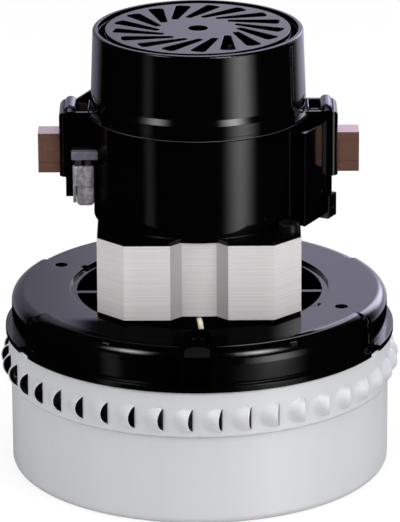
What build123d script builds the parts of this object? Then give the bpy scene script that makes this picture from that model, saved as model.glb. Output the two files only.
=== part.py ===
from build123d import *
import math
import os

# Two stage vacuum motor, in millimetres, standing on its air inlet.
# X runs to the right, Y away from the viewer, Z up. Azimuths start at the front, towards the right.

# Shared clearances and the overrun of every cut
overrun = 2.0
seat_gap = 0.05
run_gap = 0.05
slide_gap = 0.08
air_gap = 0.5

# Fan shell, the lower cup with the air inlet
shell_radius = 72.4
shell_wall = 1.2
shell_height = 35.4
shell_lip = 1.5
shell_edge_relief = 0.3
lip_taper = 0.45
shell_edge_round = 3.0
inlet_radius = 22.0
inlet_collar_height = 4.4
inlet_mouth_round = 1.0

# Louvred band, the upper ring of the shell
band_wall = 0.9
band_height = 17.8
louvre_count = 42
louvre_first_turn = -2.2
louvre_height = 9.1
louvre_length = 10.4
louvre_reach = 3.1
louvre_tip_radius = 0.4
louvre_wall = 0.7
louvre_bottom = 2.1

# Fan end bracket
bracket_inset = 0.56
bracket_wall = 3.0
bracket_top_wall = 2.6
flange_overhang = 1.0
flange_thickness = 2.2
side_shoulder_round = 4.5
front_shoulder_round = 6.5
side_sector_turn = 56.0
spigot_depth = 2.8
floor_thickness = 2.4
counterbore_width = 2.5
counterbore_depth = 1.2
opening_post_gap = 2.26
hub_wall = 3.5
rib_thickness = 2.6
rib_count = 6
rib_coil_gap = 2.4
rib_drop = 2.4
post_radius = 5.0
pocket_notch_width = 3.4
pocket_notch_depth = 2.4
pocket_notch_turn = 63.0
pocket_notch_count = 4
vent_hole_radius = 2.5
vent_hole_place_share = 0.5
vent_hole_turn = 65.0
groove_width = 2.4
groove_depth = 1.6
groove_turn = 63.5
flange_notch_width = 7.5
channel_turn = -0.8
channel_block_width = 14.0
channel_width = 9.7
channel_depth = 3.4
channel_bar = 1.0

# Stator
stator_gap = 1.2
stack_height = 29.1
stator_half_width = 38.25
stator_half_depth = 43.1
stator_chamfer_across = 10.2
stator_chamfer_deep = 10.1
recess_mouth = 21.5
recess_floor = 13.1
recess_depth = 4.2
pole_air_gap = 0.5
yoke_width = 5.05
window_half_turn = 50.0
bolt_radius = 2.1
bolt_side_edge = 4.75
bolt_front_edge = 13.6
bolt_depth = 9.0
bolt_head_radius = 4.0
bolt_head_height = 3.2
bolt_head_chamfer = 0.5
bolt_socket_radius = 1.9
bolt_socket_depth = 1.7
coil_gap = 0.6
coil_overhang = 8.2
coil_floor_gap = 2.55
coil_neck_half_turn = 52.0
coil_end_half_turn = 84.0
coil_edge = 1.6
liner_thickness = 0.35
liner_half_turn = 49.6
lead_sleeve_radius = 1.0
lead_sleeve_under = 1.6
lead_sleeve_across = -0.6
lead_sleeve_drift = 2.0
lead_sleeve_edge = 4.9
lead_sleeve_drop = 8.5
lead_sleeve_bend = 2.2

# Brush end housing
bolt_wall_gap = 0.84
housing_wall = 2.5
foot_thickness = 1.5
foot_inset = 0.3
lip_width = 1.9
lip_height = 1.3
bridge_thickness = 4.0
bridge_arm_width = 7.0
bridge_arm_count = 4
bridge_hub_wall = 3.2
bridge_floor = 0.9
bridge_floor_room = 2.5
box_length = 12.7
box_half_depth = 9.0
box_rise = 0.4
box_floor = 0.5
box_wall = 1.8
box_end_round = 2.6
box_top_round = 2.2
pocket_wall = 1.7

# Lead chute on the side of each brush box
chute_bolt_turn = 10.57
chute_corner_share = 0.345
chute_corner_step = 4.1
chute_end_inset = 2.1
chute_end_along = 4.5
chute_root_share = 0.9
chute_drop = 3.5
chute_wall = 1.4
chute_floor = 2.0
right_chute_rise = 1.3
left_chute_rise = 5.8
slot_width = 2.9
slot_height = 7.5
slot_place_share = 0.68
rib_gusset_reach = 6.0
rib_gusset_height = 3.9
rib_gusset_thickness = 1.6

# Fan cover
cover_flange_step = 2.1
cover_flange_height = 4.2
cover_shoulder_height = 2.4
cover_low_step = 0.7
cover_draft = 0.9
cover_wall = 2.2
cover_edge_round = 0.8
cover_flange_half_turn = 59.0
cover_rib_width = 1.3
cover_rib_height = 0.45
rim_width = 1.8
rim_groove_width = 3.0
rim_groove_depth = 2.0
grille_thickness = 2.4
grille_drop = 0.2
grille_hole_radius = 3.75
slot_count = 17
swirl_offset_share = 0.733
swirl_inner_radius = 15.0
swirl_rim_width = 3.0
swirl_inner_width = 2.6
swirl_outer_width = 6.2
swirl_inner_round = 0.9
swirl_outer_round = 1.6

# Bearings and shaft
bearing_radius = 11.0
bearing_width = 7.0
bearing_groove_depth = 0.5
bearing_ring_width = 2.2
shaft_radius = 4.0
shaft_step = 1.0
shaft_shoulder_gap = 0.3

# Armature
armature_radius = 22.2
armature_slots = 12
armature_slot_width = 2.2
armature_slot_radius = 3.2
armature_slot_place = 5.6
winding_insulation = 1.6
winding_inset = 2.6
winding_overhang = 7.0
winding_edge = 2.5
commutator_radius = 13.5
commutator_length = 16.6
commutator_bars = 24
commutator_bar_depth = 3.6
commutator_slit = 0.5
commutator_slit_depth = 1.2
commutator_riser_height = 2.4
commutator_riser_reach = 1.0
commutator_low_gap = 6.85
commutator_top_gap = 0.55

# Brush gear
tube_thickness = 9.5
tube_height = 15.4
tube_wall = 0.7
tube_start_gap = 3.5
tube_reach = 8.1
brush_length_share = 0.6034
brush_face_gap = 0.15
brush_spring_radius = 3.2
brush_spring_wire = 0.8
brush_spring_end_gap = 0.1
tab_thickness = 0.8
tab_height = 9.2
tab_side_gap = 0.3
tab_face_gap = 0.4
clip_thickness = 1.1
clip_side_gap = 0.6
clip_roll_radius = 2.5
clip_start_gap = 0.15
clip_upright_height = 12.0
clip_end_gap = 0.3
clip_roll_height = 8.6

# Lead terminals
terminal_gap = 0.1
terminal_place = 3.9
terminal_thickness = 3.6
strap_width = 9.2
strap_height = 3.6
strap_top = 13.6
body_width = 8.0
body_height = 8.4
body_top = 19.6
tongue_width = 7.2
tongue_height = 8.2
tongue_thickness = 2.6
terminal_round = 1.1
tab_blade_thickness = 0.8
socket_width = 6.5
socket_height = 8.9
socket_depth = 4.0
socket_wall_gap = 0.05
socket_hole_radius = 0.9
socket_hole_depth = 1.6
socket_round = 0.5

# Rotating fans
impeller_rim_gap = 9.2
impeller_eye_step = 2.4
impeller_roof_gap = 5.0
impeller_sheet = 1.3
impeller_count_vanes = 7
impeller_vane_thickness = 1.2
impeller_vane_turn = 62.0
impeller_mouth_gap = 1.6
shaft_nut_wall = 3.0
shaft_nut_height = 5.5
shaft_end = 1.5
washer_width = 4.5
washer_thickness = 1.6
spacer_wall = 2.6
diffuser_gap = 1.6
diffuser_sheet = 1.3
diffuser_vane_height = 6.4
diffuser_vane_count = 10
diffuser_rim_gap = 7.2
diffuser_bore_gap = 1.6

# Cooling fan
fan_rim_gap = 2.9
fan_plate = 1.4
fan_blade_height = 11.0
fan_blade_thickness = 1.3
fan_blade_count = 11
fan_blade_turn = 34.0
fan_blade_inner_radius = 13.0
fan_hub_wall = 4.0
fan_collar_wall = 2.2
fan_collar_height = 9.0
fan_nut_wall = 1.2
fan_nut_height = 2.4
shaft_over_nut = 3.45
fan_top_gap = 0.9

# Radii that follow from the sizes above
band_radius = shell_radius + band_wall
flange_radius = band_radius + flange_overhang
bracket_radius = shell_radius - bracket_inset
hub_radius = bearing_radius + hub_wall
stator_bore = armature_radius + pole_air_gap
window_radius = stator_half_width - yoke_width
coil_inner_radius = stator_bore + coil_gap
coil_radius = window_radius - coil_gap
rib_low_radius = coil_radius + rib_coil_gap
bolt_across = stator_half_width - bolt_side_edge
bolt_along = stator_half_depth - bolt_front_edge
bolt_circle = math.hypot(bolt_across, bolt_along)
bracket_opening_radius = bolt_circle + opening_post_gap
counterbore_radius = bracket_opening_radius + counterbore_width
channel_inner_radius = counterbore_radius + channel_bar
vent_hole_room = bracket_radius - bracket_wall - counterbore_radius
vent_hole_circle = counterbore_radius + vent_hole_room * vent_hole_place_share
housing_radius = bolt_circle - bolt_head_radius - bolt_wall_gap
bridge_hub_radius = bearing_radius + bridge_hub_wall
shaft_body_radius = shaft_radius + shaft_step
bridge_floor_opening = shaft_body_radius + bridge_floor_room
cover_flange_radius = housing_radius + cover_flange_step
cover_low_radius = housing_radius + cover_low_step
cover_top_radius = cover_low_radius - cover_draft
cover_groove_outer = cover_top_radius - rim_width
cover_groove_inner = cover_groove_outer - rim_groove_width
swirl_offset = swirl_inner_radius * swirl_offset_share
swirl_outer_radius = cover_groove_inner - swirl_rim_width
winding_inner_radius = shaft_body_radius + winding_insulation
winding_radius = armature_radius - winding_inset
armature_slot_centre = armature_radius - armature_slot_place
impeller_radius = shell_radius - shell_wall - impeller_rim_gap
impeller_eye_radius = inlet_radius + impeller_eye_step
diffuser_plate_radius = shell_radius - shell_wall - diffuser_rim_gap
spacer_radius = shaft_radius + spacer_wall
fan_radius = cover_top_radius - cover_wall - fan_rim_gap

# Heights that follow from the sizes above
band_top = shell_height + band_height
flange_top = band_top + flange_thickness
opening_floor = band_top - spigot_depth
floor_top = opening_floor + floor_thickness
lower_bearing_bottom = floor_top + seat_gap
lower_bearing_top = lower_bearing_bottom + bearing_width
stator_bottom = lower_bearing_top + coil_floor_gap + coil_overhang
bracket_top = stator_bottom - stator_gap
stator_top = stator_bottom + stack_height
foot_top = stator_top + foot_thickness
commutator_bottom = stator_top + winding_overhang + commutator_low_gap + commutator_riser_height
commutator_top = commutator_bottom + commutator_length
bridge_bottom = commutator_top + commutator_top_gap
upper_bearing_bottom = bridge_bottom + bridge_floor
upper_bearing_top = upper_bearing_bottom + bearing_width
housing_top = upper_bearing_top
brush_height = commutator_bottom + commutator_length / 2
tube_bottom = brush_height - tube_height / 2
tube_top = brush_height + tube_height / 2
box_top = housing_top + box_rise
chute_top = housing_top - chute_drop
right_chute_depth = chute_top - stator_top - right_chute_rise
left_chute_depth = chute_top - stator_top - left_chute_rise
fan_plate_bottom = upper_bearing_top + run_gap + fan_collar_height
fan_blades_top = fan_plate_bottom + fan_plate + fan_blade_height
shaft_top = fan_blades_top + fan_nut_height + shaft_over_nut
grille_under = shaft_top + fan_top_gap
cover_top = grille_under + grille_thickness + grille_drop
lower_disc_bottom = inlet_collar_height + impeller_mouth_gap
guide_height = diffuser_sheet * 2 + diffuser_vane_height + diffuser_gap * 2
impeller_room = opening_floor - impeller_roof_gap - lower_disc_bottom - guide_height
impeller_vane_height = impeller_room / 2 - impeller_sheet * 2

# Places along the brush tube that follow from the sizes above
box_reach = housing_radius + box_length
pocket_start = housing_radius + pocket_wall / 2
pocket_end = box_reach - pocket_wall
tube_start = commutator_radius + tube_start_gap
tube_end = box_reach + tube_reach
brush_length = (tube_end - tube_wall - commutator_radius) * brush_length_share
clip_upright_place = pocket_start + clip_start_gap
clip_roll_place = pocket_end - clip_end_gap - clip_roll_radius
tab_room_start = clip_upright_place + clip_thickness
tab_room_end = clip_roll_place - clip_roll_radius
terminal_middle = -housing_radius - terminal_place

# Shared shares, turns and alignments
bend_share = 0.36
full_turn = 360.0
half_turn = 180.0
quarter_turn = 90.0
standing = (Align.CENTER, Align.CENTER, Align.MIN)
hanging = (Align.CENTER, Align.CENTER, Align.MAX)


def outline(points, rounds=()):
    """Flat face through the given corners, some of them rounded."""
    face = make_face(Polyline(*points, close=True)).face()
    for corner, radius in rounds:
        nearest = face.vertices().sort_by_distance(Vector(*points[corner]))[0]
        face = face.fillet_2d(radius, [nearest])
    return face


def spun(points, rounds=(), turn=full_turn):
    """Solid of revolution about Z from corners given as radius and height."""
    return revolve(Plane.XZ * outline(points, rounds), Axis.Z, turn)


def ring(outer, inner, bottom, top):
    """Plain ring about Z."""
    return spun([(inner, bottom), (outer, bottom), (outer, top), (inner, top)])


def disc(radius, bottom, top):
    """Plain disc about Z."""
    return spun([(0, bottom), (radius, bottom), (radius, top), (0, top)])


def rise(face, bottom, top):
    """Straight solid between two heights from a face drawn about the axis."""
    return extrude(Pos(0, 0, bottom) * face, top - bottom, dir=(0, 0, 1))


def block(x_low, x_high, y_low, y_high, bottom, top):
    """Square block from its six sides."""
    return Pos(x_low, y_low, bottom) * Box(
        x_high - x_low, y_high - y_low, top - bottom, align=(Align.MIN, Align.MIN, Align.MIN)
    )


def turned(shape, turn):
    """The shape turned about Z."""
    return Rot(0, 0, turn) * shape


def polar(radius, azimuth):
    """Point at an azimuth that starts at the front."""
    angle = math.radians(azimuth - quarter_turn)
    return radius * math.cos(angle), radius * math.sin(angle)


def around(shape, count, first=0):
    """Copies of a shape evenly spaced about Z."""
    return [turned(shape, first + full_turn * step / count) for step in range(count)]


def joined(shapes):
    """One body from shapes that touch or overlap."""
    return shapes[0].fuse(*shapes[1:]).clean() if len(shapes) > 1 else shapes[0]


def curved_vane(inner, outer, turn, thickness, bottom, height, first=0):
    """Vane whose plan is an arc that swings back by the turn between two radii."""
    start = Vector(inner, 0)
    end = Vector(outer, 0).rotate(Axis.Z, turn)
    middle = Vector((inner + outer) / 2, 0).rotate(Axis.Z, turn * bend_share)
    path = ThreePointArc(start, middle, end)
    strip = offset_strip(path, thickness)
    return turned(rise(strip, bottom, bottom + height), first)


def offset_strip(path, thickness):
    """Flat strip of even thickness along a plane arc."""
    centre = path.arc_center
    radius = path.radius
    inner = [scaled_from(centre, path @ place, radius - thickness / 2) for place in (0, 1 / 2, 1)]
    outer = [scaled_from(centre, path @ place, radius + thickness / 2) for place in (0, 1 / 2, 1)]
    edges = [
        ThreePointArc(*inner),
        Line(inner[2], outer[2]),
        ThreePointArc(*reversed(outer)),
        Line(outer[0], inner[0]),
    ]
    return make_face(edges).face()


def scaled_from(centre, point, radius):
    """Point at a distance from the centre, in the direction of another point."""
    return centre + (point - centre).normalized() * radius


# Fan shell and louvred band


def fan_shell():
    """Drawn cup with a rolled inlet in its floor and a tapered lip that enters the band."""
    inside = shell_radius - shell_wall
    collar = inlet_radius + shell_wall
    lip_radius = shell_radius - seat_gap
    lip_top = shell_height + shell_lip
    points = [
        (inlet_radius, 0),
        (shell_radius, 0),
        (shell_radius, shell_height - shell_edge_relief),
        (lip_radius, shell_height),
        (lip_radius - lip_taper, lip_top),
        (inside, lip_top),
        (inside, shell_wall),
        (collar, shell_wall),
        (collar, inlet_collar_height),
        (inlet_radius, inlet_collar_height),
    ]
    rounds = [
        (0, inlet_mouth_round),
        (1, shell_edge_round),
        (6, shell_edge_round - shell_wall),
    ]
    return spun(points, rounds)


def louvre_cone(inset=0):
    """Cone sunk in the band with its open base at the mouth, so that its back slopes to the wall."""
    half = louvre_height / 2
    radius = (half**2 + louvre_reach**2) / (2 * louvre_reach)
    cone = Cone(radius - inset, louvre_tip_radius, louvre_length - inset, align=standing)
    middle = shell_height + louvre_bottom + half
    return Pos(band_radius + louvre_reach - radius, 0, middle) * Rot(quarter_turn, 0, 0) * cone


def louvre_band():
    """Ring with hooded louvres pressed outwards, all opening the same way round."""
    first = louvre_first_turn - quarter_turn
    body = ring(band_radius, shell_radius, shell_height, band_top)
    hoods = around(louvre_cone(), louvre_count, first)
    inner = disc(shell_radius, shell_height, band_top)
    body = body.fuse(*[hood - inner for hood in hoods])
    return body.cut(*around(louvre_cone(louvre_wall), louvre_count, first))


# Fan end bracket


def bracket_shell():
    """The bracket's outer body, from the spigot to the rounded shoulder."""
    inside = bracket_radius - bracket_wall
    spigot = shell_radius - seat_gap
    under_top = bracket_top - bracket_top_wall
    points = [
        (0, opening_floor),
        (spigot, opening_floor),
        (spigot, band_top),
        (flange_radius, band_top),
        (flange_radius, flange_top),
        (bracket_radius, flange_top),
        (bracket_radius, bracket_top),
        (bracket_opening_radius, bracket_top),
        (bracket_opening_radius, under_top),
        (inside, under_top),
        (inside, floor_top),
        (0, floor_top),
    ]
    rounds = [(6, side_shoulder_round), (9, side_shoulder_round - bracket_top_wall)]
    return spun(points, rounds)


def shoulder_trim(azimuth):
    """What the fuller shoulder of the front and the back takes off."""
    radius = front_shoulder_round
    centre_x = bracket_radius - radius
    centre_z = bracket_top - radius
    square = outline(
        [
            (centre_x, centre_z),
            (bracket_radius + overrun, centre_z),
            (bracket_radius + overrun, bracket_top + overrun),
            (centre_x, bracket_top + overrun),
        ]
    )
    corner = square - Pos(centre_x, centre_z) * Circle(radius)
    turn = half_turn - side_sector_turn
    return turned(revolve(Plane.XZ * corner, Axis.Z, turn), azimuth - quarter_turn - turn / 2)


def bracket_rib():
    """One upright rib from the bearing hub to the wall, low under the armature."""
    rib_top = bracket_top - rib_drop
    points = [
        (bearing_radius, opening_floor),
        (bracket_radius - bracket_wall / 2, opening_floor),
        (bracket_radius - bracket_wall / 2, bracket_top - bracket_top_wall / 2),
        (bracket_opening_radius + overrun / 2, bracket_top - bracket_top_wall / 2),
        (bracket_opening_radius, rib_top),
        (rib_low_radius + overrun, rib_top),
        (rib_low_radius, lower_bearing_top - seat_gap),
        (bearing_radius, lower_bearing_top - seat_gap),
    ]
    return extrude(Plane.XZ * outline(points), rib_thickness / 2, both=True)


def channel_block(azimuth):
    """Block on the wall, flush with the flange, that frames a channel."""
    inner = channel_inner_radius - (channel_block_width - channel_width) / 2
    solid = block(
        -channel_block_width / 2,
        channel_block_width / 2,
        -flange_radius - overrun,
        -inner,
        flange_top,
        bracket_top,
    )
    trim = disc(flange_radius, flange_top - overrun, bracket_top + overrun)
    return turned(solid & trim, azimuth)


def channel_cut(azimuth):
    """Channel with a round inner end, cut down into the top and in from the wall."""
    half = channel_width / 2
    centre = channel_inner_radius + half
    top_cut = block(-half, half, -flange_radius - overrun, -centre, bracket_top - channel_depth,
                    bracket_top + overrun)
    round_end = Pos(0, -centre, bracket_top - channel_depth) * Cylinder(
        half, channel_depth + overrun, align=standing
    )
    wall_cut = block(
        -half,
        half,
        -flange_radius - overrun,
        -flange_radius + channel_depth,
        flange_top,
        bracket_top + overrun,
    )
    return turned(top_cut + round_end + wall_cut, azimuth)


def wall_groove(azimuth):
    """Narrow upright groove in the wall and the notch below it in the flange."""
    shoulder_start = bracket_top - side_shoulder_round / 2
    groove = block(
        -groove_width / 2,
        groove_width / 2,
        -flange_radius - overrun,
        -bracket_radius + groove_depth,
        flange_top,
        shoulder_start,
    )
    notch = block(
        -flange_notch_width / 2,
        flange_notch_width / 2,
        -flange_radius - overrun,
        -bracket_radius + groove_depth / 2,
        band_top - overrun,
        flange_top + groove_depth,
    )
    return turned(groove + notch, azimuth)


def fan_end_bracket():
    """Moulded bracket that closes the shell, holds the lower bearing and carries the stator."""
    hub = disc(hub_radius, opening_floor, lower_bearing_top - seat_gap)
    ribs = around(bracket_rib(), rib_count)
    blocks = [channel_block(azimuth) for azimuth in channel_turns()]
    trims = [shoulder_trim(azimuth) for azimuth in (0, half_turn)]
    shell = bracket_shell().cut(*trims)
    body = joined([shell, hub] + ribs + blocks)
    cuts = [
        ring(counterbore_radius, bracket_opening_radius - overrun,
             bracket_top - counterbore_depth, bracket_top + overrun),
        disc(bearing_radius + seat_gap, floor_top, lower_bearing_top + overrun),
        disc(spacer_radius + air_gap, opening_floor - overrun, floor_top + overrun),
    ]
    cuts += [channel_cut(azimuth) for azimuth in channel_turns()]
    cuts += [
        wall_groove(azimuth)
        for azimuth in (groove_turn, half_turn - groove_turn, half_turn + groove_turn, -groove_turn)
    ]
    cuts += pocket_notches() + vent_holes()
    return joined([body.cut(*cuts)] + stator_posts()).cut(*bolt_threads())


def channel_turns():
    """Azimuths of the two wall channels, front and back."""
    return channel_turn, channel_turn + half_turn


def stator_posts():
    """Four posts that carry the stator above the bracket's floor."""
    return [
        Pos(x, y, opening_floor)
        * Cylinder(post_radius, stator_bottom - opening_floor, align=standing)
        for x in (-bolt_across, bolt_across)
        for y in (-bolt_along, bolt_along)
    ]


def pocket_notches():
    """Small square notches in the edge of the counterbore."""
    notches = []
    for step in range(pocket_notch_count):
        azimuth = pocket_notch_turn + full_turn * step / pocket_notch_count
        x, y = polar(counterbore_radius, azimuth)
        notch = Pos(x, y, bracket_top) * Rot(0, 0, azimuth) * Box(
            pocket_notch_width, pocket_notch_width, pocket_notch_depth * 2
        )
        notches.append(notch)
    return notches


def vent_holes():
    """Two round holes through the top of the bracket, opposite each other."""
    holes = []
    for azimuth in (vent_hole_turn, vent_hole_turn - half_turn):
        x, y = polar(vent_hole_circle, azimuth)
        depth = bracket_top_wall + overrun * 2
        holes.append(Pos(x, y, bracket_top) * Cylinder(vent_hole_radius, depth))
    return holes


def bolt_threads():
    """Blind holes for the two through bolts, in opposite posts."""
    depth = bolt_depth + air_gap
    return [
        Pos(x, y, stator_bottom - depth / 2 + overrun / 2)
        * Cylinder(bolt_radius + seat_gap, depth + overrun)
        for x, y in bolt_places()
    ]


def bolt_places():
    """Plan places of the two through bolts."""
    return [(bolt_across, -bolt_along), (-bolt_across, bolt_along)]


# Stator


def stator_outline(inset=0):
    """Outline of the lamination: chamfered corners and a recess front and back."""
    width = stator_half_width - inset
    depth = stator_half_depth - inset
    flat = stator_half_width - stator_chamfer_across - inset / 2
    side = stator_half_depth - stator_chamfer_deep - inset / 2
    mouth = recess_mouth / 2
    floor = recess_floor / 2
    front = [
        (-width, -side),
        (-flat, -depth),
        (-mouth, -depth),
        (-floor, -depth + recess_depth),
        (floor, -depth + recess_depth),
        (mouth, -depth),
        (flat, -depth),
        (width, -side),
    ]
    back = [(-x, -y) for x, y in front]
    return outline(front + back)


def sector_ring(outer, inner, bottom, top, half, azimuth):
    """Part of a ring, as far each way from an azimuth as the half turn."""
    points = [(inner, bottom), (outer, bottom), (outer, top), (inner, top)]
    return turned(spun(points, (), 2 * half), azimuth - quarter_turn - half)


def stator_core():
    """Stack of laminations with a bore, two windows and the bolt holes."""
    body = rise(stator_outline(), stator_bottom, stator_top)
    low = stator_bottom - overrun
    high = stator_top + overrun
    cuts = [disc(stator_bore, low, high)]
    cuts += [
        sector_ring(window_radius, stator_bore - overrun, low, high, window_half_turn, azimuth)
        for azimuth in (quarter_turn, -quarter_turn)
    ]
    cuts += [
        Pos(x, y, (low + high) / 2) * Cylinder(bolt_radius + seat_gap, high - low)
        for x, y in bolt_places()
    ]
    return body.cut(*cuts)


def field_coil(azimuth):
    """Coil bent round one pole: two legs in the windows and an arch above and below."""
    low = stator_bottom - coil_overhang
    high = stator_top + coil_overhang
    body = sector_ring(coil_radius, coil_inner_radius, low, high, coil_end_half_turn, azimuth)
    pole = sector_ring(
        coil_radius + overrun,
        coil_inner_radius - overrun,
        stator_bottom - coil_gap,
        stator_top + coil_gap,
        coil_neck_half_turn,
        azimuth,
    )
    corners = body.edges().filter_by(GeomType.CIRCLE)
    return chamfer(corners, coil_edge) - pole


def slot_liner(azimuth):
    """Bent insulating sheet between a window's outer wall and the coils."""
    outer = window_radius - seat_gap
    inner = outer - liner_thickness
    low = stator_bottom - coil_gap
    high = stator_top + coil_gap
    return sector_ring(outer, inner, low, high, liner_half_turn, azimuth)


def slot_liners():
    """One liner in each window."""
    return Compound(children=[slot_liner(azimuth) for azimuth in (quarter_turn, -quarter_turn)])


def through_bolts():
    """Two long bolts through the foot and the stack into the bracket's posts."""
    bolts = []
    for x, y in bolt_places():
        length = foot_top - stator_bottom + bolt_depth
        shank = Cylinder(bolt_radius, length, align=hanging)
        head = Cylinder(bolt_head_radius, bolt_head_height, align=standing)
        head = chamfer(head.edges().filter_by(GeomType.CIRCLE).sort_by(Axis.Z)[-1], bolt_head_chamfer)
        socket = Pos(0, 0, bolt_head_height - bolt_socket_depth) * extrude(
            RegularPolygon(bolt_socket_radius, 6), bolt_socket_depth + overrun
        )
        bolts.append(Pos(x, y, foot_top) * (shank + head - socket))
    return Compound(children=bolts)


def lead_sleeve():
    """Sleeve on the front coil's lead, out from the coil and down under the stator's edge."""
    height = stator_bottom - lead_sleeve_under
    front = -bracket_opening_radius + lead_sleeve_edge
    drift = lead_sleeve_drift
    start = (lead_sleeve_across, -coil_radius - seat_gap, height)
    corner = (lead_sleeve_across + drift / 2, front, height)
    end = (lead_sleeve_across + drift, front, height - lead_sleeve_drop)
    path = FilletPolyline(start, corner, end, radius=lead_sleeve_bend)
    section = Plane(path @ 0, z_dir=path % 0) * Circle(lead_sleeve_radius)
    return sweep(section, path=path)


# Brush end housing


def chute_points():
    """Corners of the chute's plan on the right of the front, from the shaft round to the box's end."""
    bolt_turn = math.degrees(math.atan2(bolt_across, bolt_along))
    wall_x, wall_y = polar(housing_radius - seat_gap, bolt_turn + chute_bolt_turn)
    end_x = box_reach - chute_end_inset
    corner_x = wall_x + (end_x - wall_x) * chute_corner_share
    return [
        (0, 0),
        (wall_x * chute_root_share, wall_y * chute_root_share),
        (wall_x, wall_y),
        (corner_x, wall_y - chute_corner_step),
        (end_x, -chute_end_along),
        (end_x, 0),
    ]


def chute_outline(inset=0):
    """Plan of the lead chute, drawn in by an inset."""
    face = outline(chute_points())
    return offset(face, -inset, kind=Kind.INTERSECTION) if inset else face


def box_bulk(turn, depth):
    """Brush box and its chute before they are hollowed."""
    bottom = tube_bottom - box_floor
    half = box_half_depth
    side = outline(
        [(0, bottom), (box_reach, bottom), (box_reach, box_top), (0, box_top)],
        [(2, box_top_round)],
    )
    plan = outline(
        [(0, -half), (box_reach, -half), (box_reach, half), (0, half)],
        [(1, box_end_round), (2, box_end_round)],
    )
    shape = extrude(Plane.XZ * side, half, both=True) & rise(plan, bottom, box_top)
    chute = rise(chute_outline(), chute_top - depth, chute_top)
    return turned(shape + chute, turn)


def box_pocket(turn, depth):
    """Open pocket over the brush tube, the tube's channel and the chute's hollow."""
    half = box_half_depth - pocket_wall
    side = tube_thickness / 2 + seat_gap
    pocket = block(pocket_start, pocket_end, -half, half, tube_top + seat_gap, box_top + overrun)
    low = tube_bottom - seat_gap
    inner_x = housing_radius - housing_wall - overrun
    channel = block(inner_x, box_reach + overrun, -side, side, low, tube_top + seat_gap)
    mouth = block(housing_radius + box_wall, box_reach + overrun, -side, side, low - overrun,
                  tube_top + seat_gap)
    hollow = rise(chute_outline(chute_wall), chute_top - depth + chute_floor, chute_top + overrun)
    wall_side = disc(housing_radius, chute_top - depth, chute_top + overrun * 2)
    box_side = block(0, box_reach, -box_half_depth, box_half_depth, tube_bottom - overrun,
                     box_top + overrun * 2)
    hollow = hollow - wall_side - box_side
    return turned(pocket + channel + mouth + hollow, turn)


def keyhole_slot():
    """Upright slot through the chute's outer wall above the lead socket."""
    centre, angle = socket_place()
    low = chute_top - right_chute_depth + socket_height
    slot = Box(slot_width, chute_wall + overrun, slot_height, align=standing)
    upper = slot.edges().filter_by(Axis.Y).group_by(Axis.Z)[-1]
    slot = fillet(upper, slot_width / 2 - seat_gap)
    return Pos(centre.X, centre.Y, low) * Rot(0, 0, angle) * slot


def socket_place():
    """Middle of the slot and the socket on the chute's long outer face, and the face's turn."""
    start, end = [Vector(*point) for point in chute_points()[3:5]]
    along = end - start
    return start + along * slot_place_share, math.degrees(math.atan2(along.Y, along.X))


def bearing_bridge():
    """Arms and hub that carry the upper bearing across the housing's top."""
    arm_reach = housing_radius - housing_wall / 2
    arm = block(0, arm_reach, -bridge_arm_width / 2, bridge_arm_width / 2,
                housing_top - bridge_thickness, housing_top)
    arms = around(arm, bridge_arm_count, full_turn / bridge_arm_count / 2)
    return [disc(bridge_hub_radius, bridge_bottom, housing_top)] + arms


def cover_gusset():
    """Thin gusset on the back edge of the left brush box, against the cover."""
    start = -cover_low_radius - seat_gap
    points = [
        (start, box_top - overrun / 2),
        (start, box_top + rib_gusset_height),
        (start - rib_gusset_reach, box_top),
        (start - rib_gusset_reach, box_top - overrun / 2),
    ]
    face = Plane.XZ * outline(points)
    return Pos(0, box_half_depth, 0) * extrude(face, rib_gusset_thickness)


def brush_end_housing():
    """Moulded housing over the armature's upper end, with a brush box on each side."""
    boxes = [box_bulk(0, right_chute_depth), box_bulk(half_turn, left_chute_depth)]
    foot = rise(stator_outline(foot_inset), stator_top, foot_top)
    wall = disc(housing_radius, stator_top, housing_top)
    lip = spun(
        [
            (0, housing_top - lip_height - lip_width / 2),
            (housing_radius - seat_gap, housing_top - lip_height - lip_width / 2),
            (housing_radius + lip_width, housing_top - lip_height),
            (housing_radius + lip_width, housing_top),
            (0, housing_top),
        ]
    )
    body = joined([wall, foot, lip] + boxes)
    inside = housing_radius - housing_wall
    hollow = disc(inside, stator_top - overrun, housing_top + overrun)
    cover_seat = disc(cover_low_radius + air_gap, housing_top, box_top + overrun)
    body = body.cut(
        hollow,
        cover_seat,
        box_pocket(0, right_chute_depth),
        box_pocket(half_turn, left_chute_depth),
        keyhole_slot(),
    )
    body = joined([body] + bearing_bridge() + [cover_gusset()])
    bores = [
        disc(bearing_radius + seat_gap, upper_bearing_bottom, housing_top + overrun),
        disc(bridge_floor_opening, bridge_bottom - overrun, housing_top + overrun),
    ]
    bores += [
        Pos(x, y, (stator_top + foot_top) / 2)
        * Cylinder(bolt_radius + seat_gap, foot_thickness + overrun)
        for x, y in bolt_places()
    ]
    return body.cut(*bores)


# Fan cover


def swirl_slot():
    """One slot of the grille, wide at its outer end and set off from the middle."""
    start = math.sqrt(swirl_inner_radius**2 - swirl_offset**2)
    end = math.sqrt(swirl_outer_radius**2 - swirl_offset**2)
    near = swirl_inner_width / 2
    far = swirl_outer_width / 2
    points = [
        (swirl_offset - near, -start),
        (swirl_offset - far, -end),
        (swirl_offset + far, -end),
        (swirl_offset + near, -start),
    ]
    rounds = [
        (0, swirl_inner_round),
        (1, swirl_outer_round),
        (2, swirl_outer_round),
        (3, swirl_inner_round),
    ]
    return rise(outline(points, rounds), cover_top - grille_thickness - overrun, cover_top + overrun)


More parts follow.
